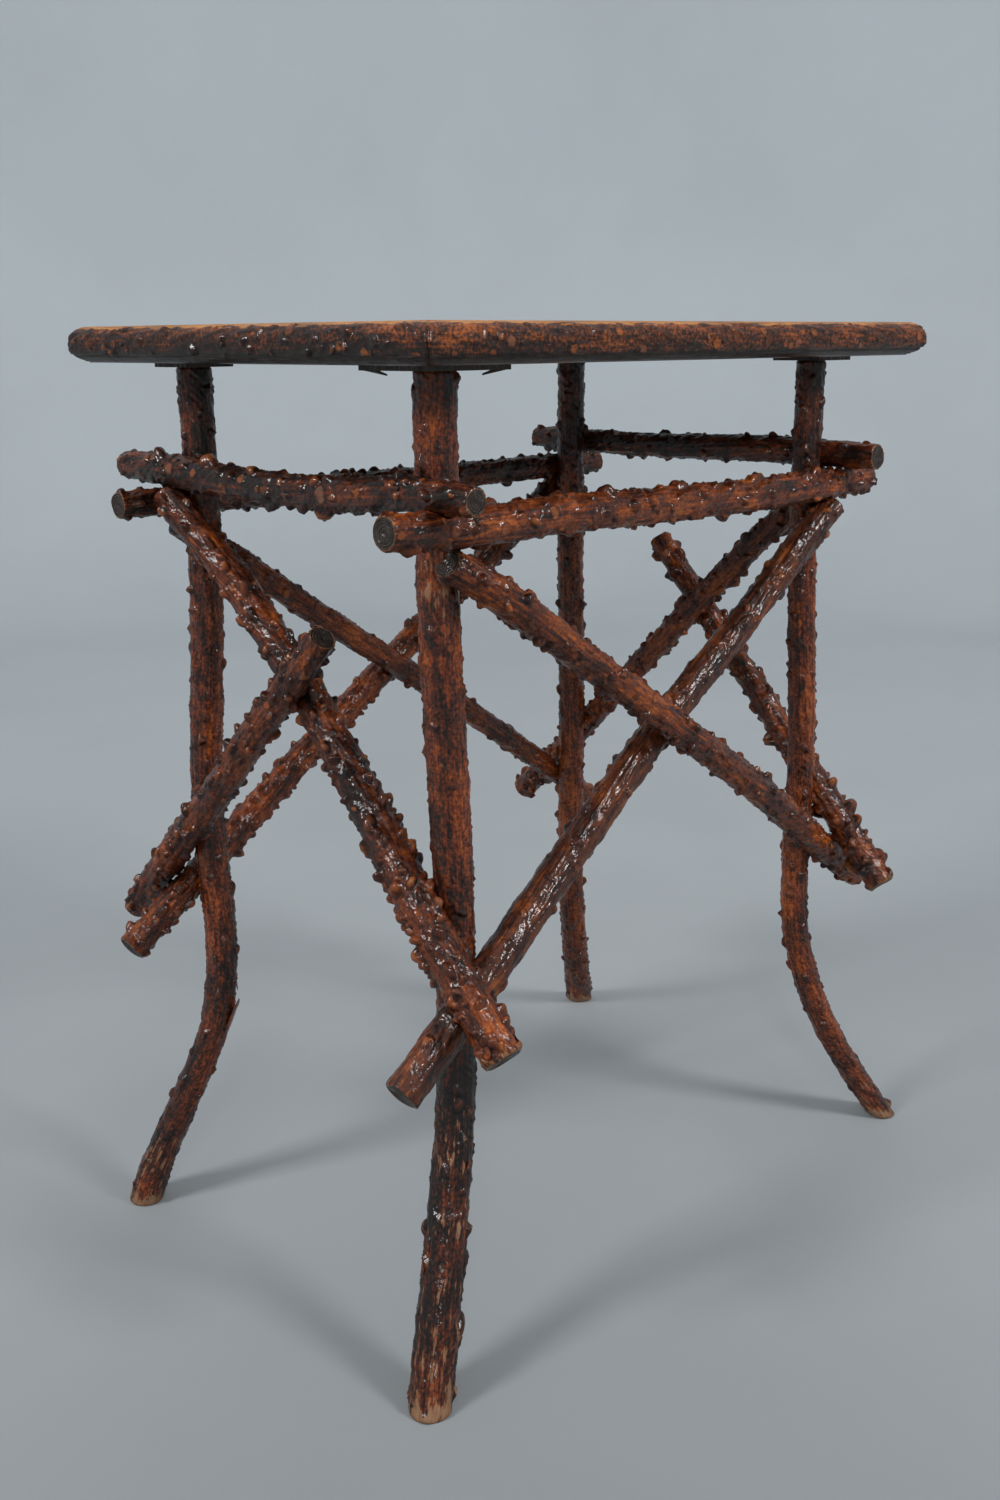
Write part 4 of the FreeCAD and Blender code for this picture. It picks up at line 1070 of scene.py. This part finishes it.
def steel_material(name, tones, rough):
    """Dark fastener steel with rust specks."""
    material, tree, shader = tree_of(name)
    rust = layer(tree, tree.nodes.new("ShaderNodeTexCoord").outputs["Object"], **RUST_NOISE)
    feed(tree, shader, {
        "Base Color": ramp(tree, rust, zip(RUST_TONE_PLACES, tones)),
        "Roughness": spread(tree, rust, RUST_LIMITS, (rough, rough + RUST_ROUGH)),
        "Normal": bump(tree, rust, STEEL_BUMP),
        **STEEL_PLAIN,
    })
    return material


steel_materials = {name: steel_material(name, **look) for name, look in STEELS.items()}


def solids_of(name):
    """The boxes of a CAD node's separate solids, in a fixed order."""
    form = bmesh.new()
    form.from_mesh(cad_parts[name].data)
    bmesh.ops.remove_doubles(form, verts=form.verts, dist=SAME_RING)
    unseen = set(form.verts)
    boxes = []
    while unseen:
        stack = [unseen.pop()]
        corners = []
        while stack:
            corner = stack.pop()
            corners.append(corner.co[:])
            for edge in corner.link_edges:
                other = edge.other_vert(corner)
                if other in unseen:
                    unseen.remove(other)
                    stack.append(other)
        corners = np.array(corners)
        boxes.append((corners.min(axis=0), corners.max(axis=0)))
    form.free()
    return sorted(boxes, key=lambda box: tuple(np.round(box[0], ORDER_DIGITS)))


def lathe(profile, is_slotted):
    """Points and faces of a turned shape: rows of (radius, depth), closed by a point at both ends."""
    angles = np.arange(FASTENER_SEGMENTS) * TURN / FASTENER_SEGMENTS
    slot_depth = SLOT_DEPTH if is_slotted else 0
    rows = []
    for radius, depth in profile:
        flat = np.column_stack((radius * np.cos(angles), radius * np.sin(angles)))
        cut = slot_depth * (np.abs(flat[:, 1]) < SLOT_WIDTH / 2) * (depth <= 0)
        rows.append(np.column_stack((flat, depth + cut)))
    rows.append(((0, 0, profile[0][1] + slot_depth), (0, 0, profile[-1][1])))
    faces = grid_faces(len(profile), FASTENER_SEGMENTS, 0)
    total = len(profile) * FASTENER_SEGMENTS
    for column in range(FASTENER_SEGMENTS):
        after = (column + 1) % FASTENER_SEGMENTS
        faces.append((after, column, total))
        faces.append((total - FASTENER_SEGMENTS + column, total - FASTENER_SEGMENTS + after, total + 1))
    return np.concatenate(rows), faces


def nail_profile(radius, length):
    """A round nail from its domed head to its point."""
    dome = [(radius * share, NAIL_DOME * (1 - rise)) for share, rise in reversed(NAIL_DOME_SHARES)]
    return dome + [(radius, length - NAIL_POINT), (radius * TIP_SHARE, length - NAIL_DOME)]


def screw_profile(radius, length):
    """A slotted countersunk screw from its flat head, down its thread, to its point."""
    shank = radius * SHANK_SHARE
    rows = [(radius * share, 0) for share in np.linspace(0, 1, SLOT_RINGS + 1)[1:]]
    rows.append((shank, SCREW_HEAD_HEIGHT))
    depth = SCREW_HEAD_HEIGHT + THREAD_PITCH
    while depth < length - THREAD_RUNOUT:
        rows.append((shank - THREAD_DEPTH, depth))
        rows.append((shank, depth + THREAD_PITCH / 2))
        depth += THREAD_PITCH
    return rows + [(shank * TIP_SHARE, length - THREAD_DEPTH)]


def fasteners(name, profile_of, head_end, slot, is_slotted):
    """All the nails or screws of one CAD node, each laid along its own solid."""
    points, faces = [], []
    for low, high in solids_of(name):
        size = high - low
        axis = int(np.argmax(size))
        sides = [number for number in range(3) if number != axis]
        end = head_end or np.sign(low[axis] + high[axis])
        shape, shape_faces = lathe(profile_of(size[sides[0]] / 2, size[axis]), is_slotted)
        placed = np.empty_like(shape)
        for number, side in enumerate(sides):
            placed[:, side] = (low[side] + high[side]) / 2 + shape[:, number]
        placed[:, axis] = (high[axis] if end > 0 else low[axis]) - end * shape[:, 2]
        faces += shifted(shape_faces, sum(map(len, points)))
        points.append(placed)
    piece = build(f"{name}_steel", np.concatenate(points), faces, name, steel_materials[slot])
    piece.data.set_sharp_from_angle(angle=SHARP_ANGLE)
    return piece


for name in NAILS:
    fasteners(name, nail_profile, 0, "nail_steel", False)
for name, head_end in SCREW_HEAD_ENDS.items():
    fasteners(name, screw_profile, head_end, "screw_steel", True)

# Studio: a round pale floor that curves up into a backdrop, three soft lamps and a soft sky. The paper's
# tones are given at shares of its reach from its centre, which lies in front of the table: they paint shade
# near it and light farther out and up the backdrop.
FLOOR_RADIUS = 2.6
COVE_RADIUS = 1.2
BACKDROP_HEIGHT = 3.2
STAGE_SEGMENTS = 96
STAGE_RINGS = 24
PAINTED_SHADE_CENTRE = (-0.55, -0.55, 0)
PAPER_REACH = 5
PAPER_SHADE_AND_LIGHT_TONES = (
    (0.07, (0.232, 0.248, 0.258)),
    (0.22, (0.345, 0.369, 0.383)),
    (0.5, (0.49, 0.524, 0.544)),
    (0.9, (0.62, 0.663, 0.688)),
)
PAPER_NOISE = {"scale": 1.6, "detail": 5, "rough": 0.6}
PAPER_CLOUDS = ((0.35, (0.95, 0.95, 0.95)), (0.65, (1, 1, 1)))
PAPER_PLAIN = {"Roughness": 0.75, "Specular IOR Level": 0.25}
SKY = (0.94, 0.97, 1.0)
SKY_STRENGTH = 0.56
LAMPS = (
    {"name": "left_lamp", "place": (-2.1, 0.42, 2.1), "power": 42, "size": 0.62},
    {"name": "right_lamp", "place": (0.54, -2.1, 2.1), "power": 42, "size": 0.62},
    {"name": "front_lamp", "place": (-1.75, -1.75, 1.7), "power": 9, "size": 0.36},
)
LAMP_AIM = Vector((0, 0, 0.4))


def paper_material():
    """Matt studio paper, faintly clouded, painted shade near the table's front and painted light farther out.
    """
    material, tree, shader = tree_of("studio_paper")
    place = tree.nodes.new("ShaderNodeTexCoord").outputs["Object"]
    clouds = ramp(tree, layer(tree, place, **PAPER_NOISE), PAPER_CLOUDS)
    away = vector_node(tree, "DISTANCE", place, PAINTED_SHADE_CENTRE, "Value")
    # Painted shade and painted light: darker near the centre, lighter towards the backdrop
    paper = ramp(tree, spread(tree, away, (0, PAPER_REACH)), PAPER_SHADE_AND_LIGHT_TONES)
    feed(tree, shader, {"Base Color": mix(tree, 1, paper, clouds, "MULTIPLY"), **PAPER_PLAIN})
    return material


def stage():
    """The floor and its backdrop, in one seamless sweep."""
    profile = [(share * FLOOR_RADIUS, 0) for share in np.linspace(0, 1, STAGE_RINGS)[1:]]
    for angle in np.linspace(0, TURN / 4, STAGE_RINGS)[1:]:
        profile.append((FLOOR_RADIUS + COVE_RADIUS * math.sin(angle), COVE_RADIUS * (1 - math.cos(angle))))
    profile.append((FLOOR_RADIUS + COVE_RADIUS, BACKDROP_HEIGHT))
    angles = np.arange(STAGE_SEGMENTS) * TURN / STAGE_SEGMENTS
    points = [(0, 0, 0)]
    for radius, height in profile:
        points += [(radius * math.cos(angle), radius * math.sin(angle), height) for angle in angles]
    faces = [(0, 1 + column, 1 + (column + 1) % STAGE_SEGMENTS) for column in range(STAGE_SEGMENTS)]
    faces += [face[::-1] for face in grid_faces(len(profile), STAGE_SEGMENTS, 1)]
    floor = add_object("floor", new_mesh("floor", points, faces, paper_material()))


def lamp(name, place, power, size):
    """A square soft lamp that points at the table."""
    light = bpy.data.lights.new(name, "AREA")
    light.energy = power
    light.size = size
    holder = add_object(name, light)
    holder.location = place
    holder.rotation_euler = (LAMP_AIM - Vector(place)).to_track_quat("-Z", "Y").to_euler()
    holder.visible_camera = False


stage()
for settings in LAMPS:
    lamp(**settings)
world = bpy.data.worlds.new("studio")
world.use_nodes = True
feed(world.node_tree, world.node_tree.nodes["Background"], {"Color": (*SKY, 1), "Strength": SKY_STRENGTH})
bpy.context.scene.world = world
bpy.context.scene.view_settings.view_transform = "Standard"

# Camera at the photograph's viewing angle, as fitted to the table's straight lines
CAMERA_PLACE = Vector((-0.8459, -0.8232, 0.6897))
CAMERA_YAW = math.radians(45.07)
CAMERA_PITCH = math.radians(15.29)
CAMERA_ROLL = math.radians(0.41)
SENSOR = 36
PHOTO_HEIGHT_PIXELS = 1500
FOCAL_LENGTH_PIXELS = 1505

view = bpy.data.cameras.new("camera")
view.sensor_width = SENSOR
view.lens = SENSOR * FOCAL_LENGTH_PIXELS / PHOTO_HEIGHT_PIXELS
camera = add_object("camera", view)
turned = Matrix.Rotation(-CAMERA_YAW, 4, "Z")
tilted = Matrix.Rotation(TURN / 4 - CAMERA_PITCH, 4, "X")
rolled = Matrix.Rotation(-CAMERA_ROLL, 4, "Z")
camera.matrix_world = Matrix.Translation(CAMERA_PLACE) @ turned @ tilted @ rolled
bpy.context.scene.camera = camera
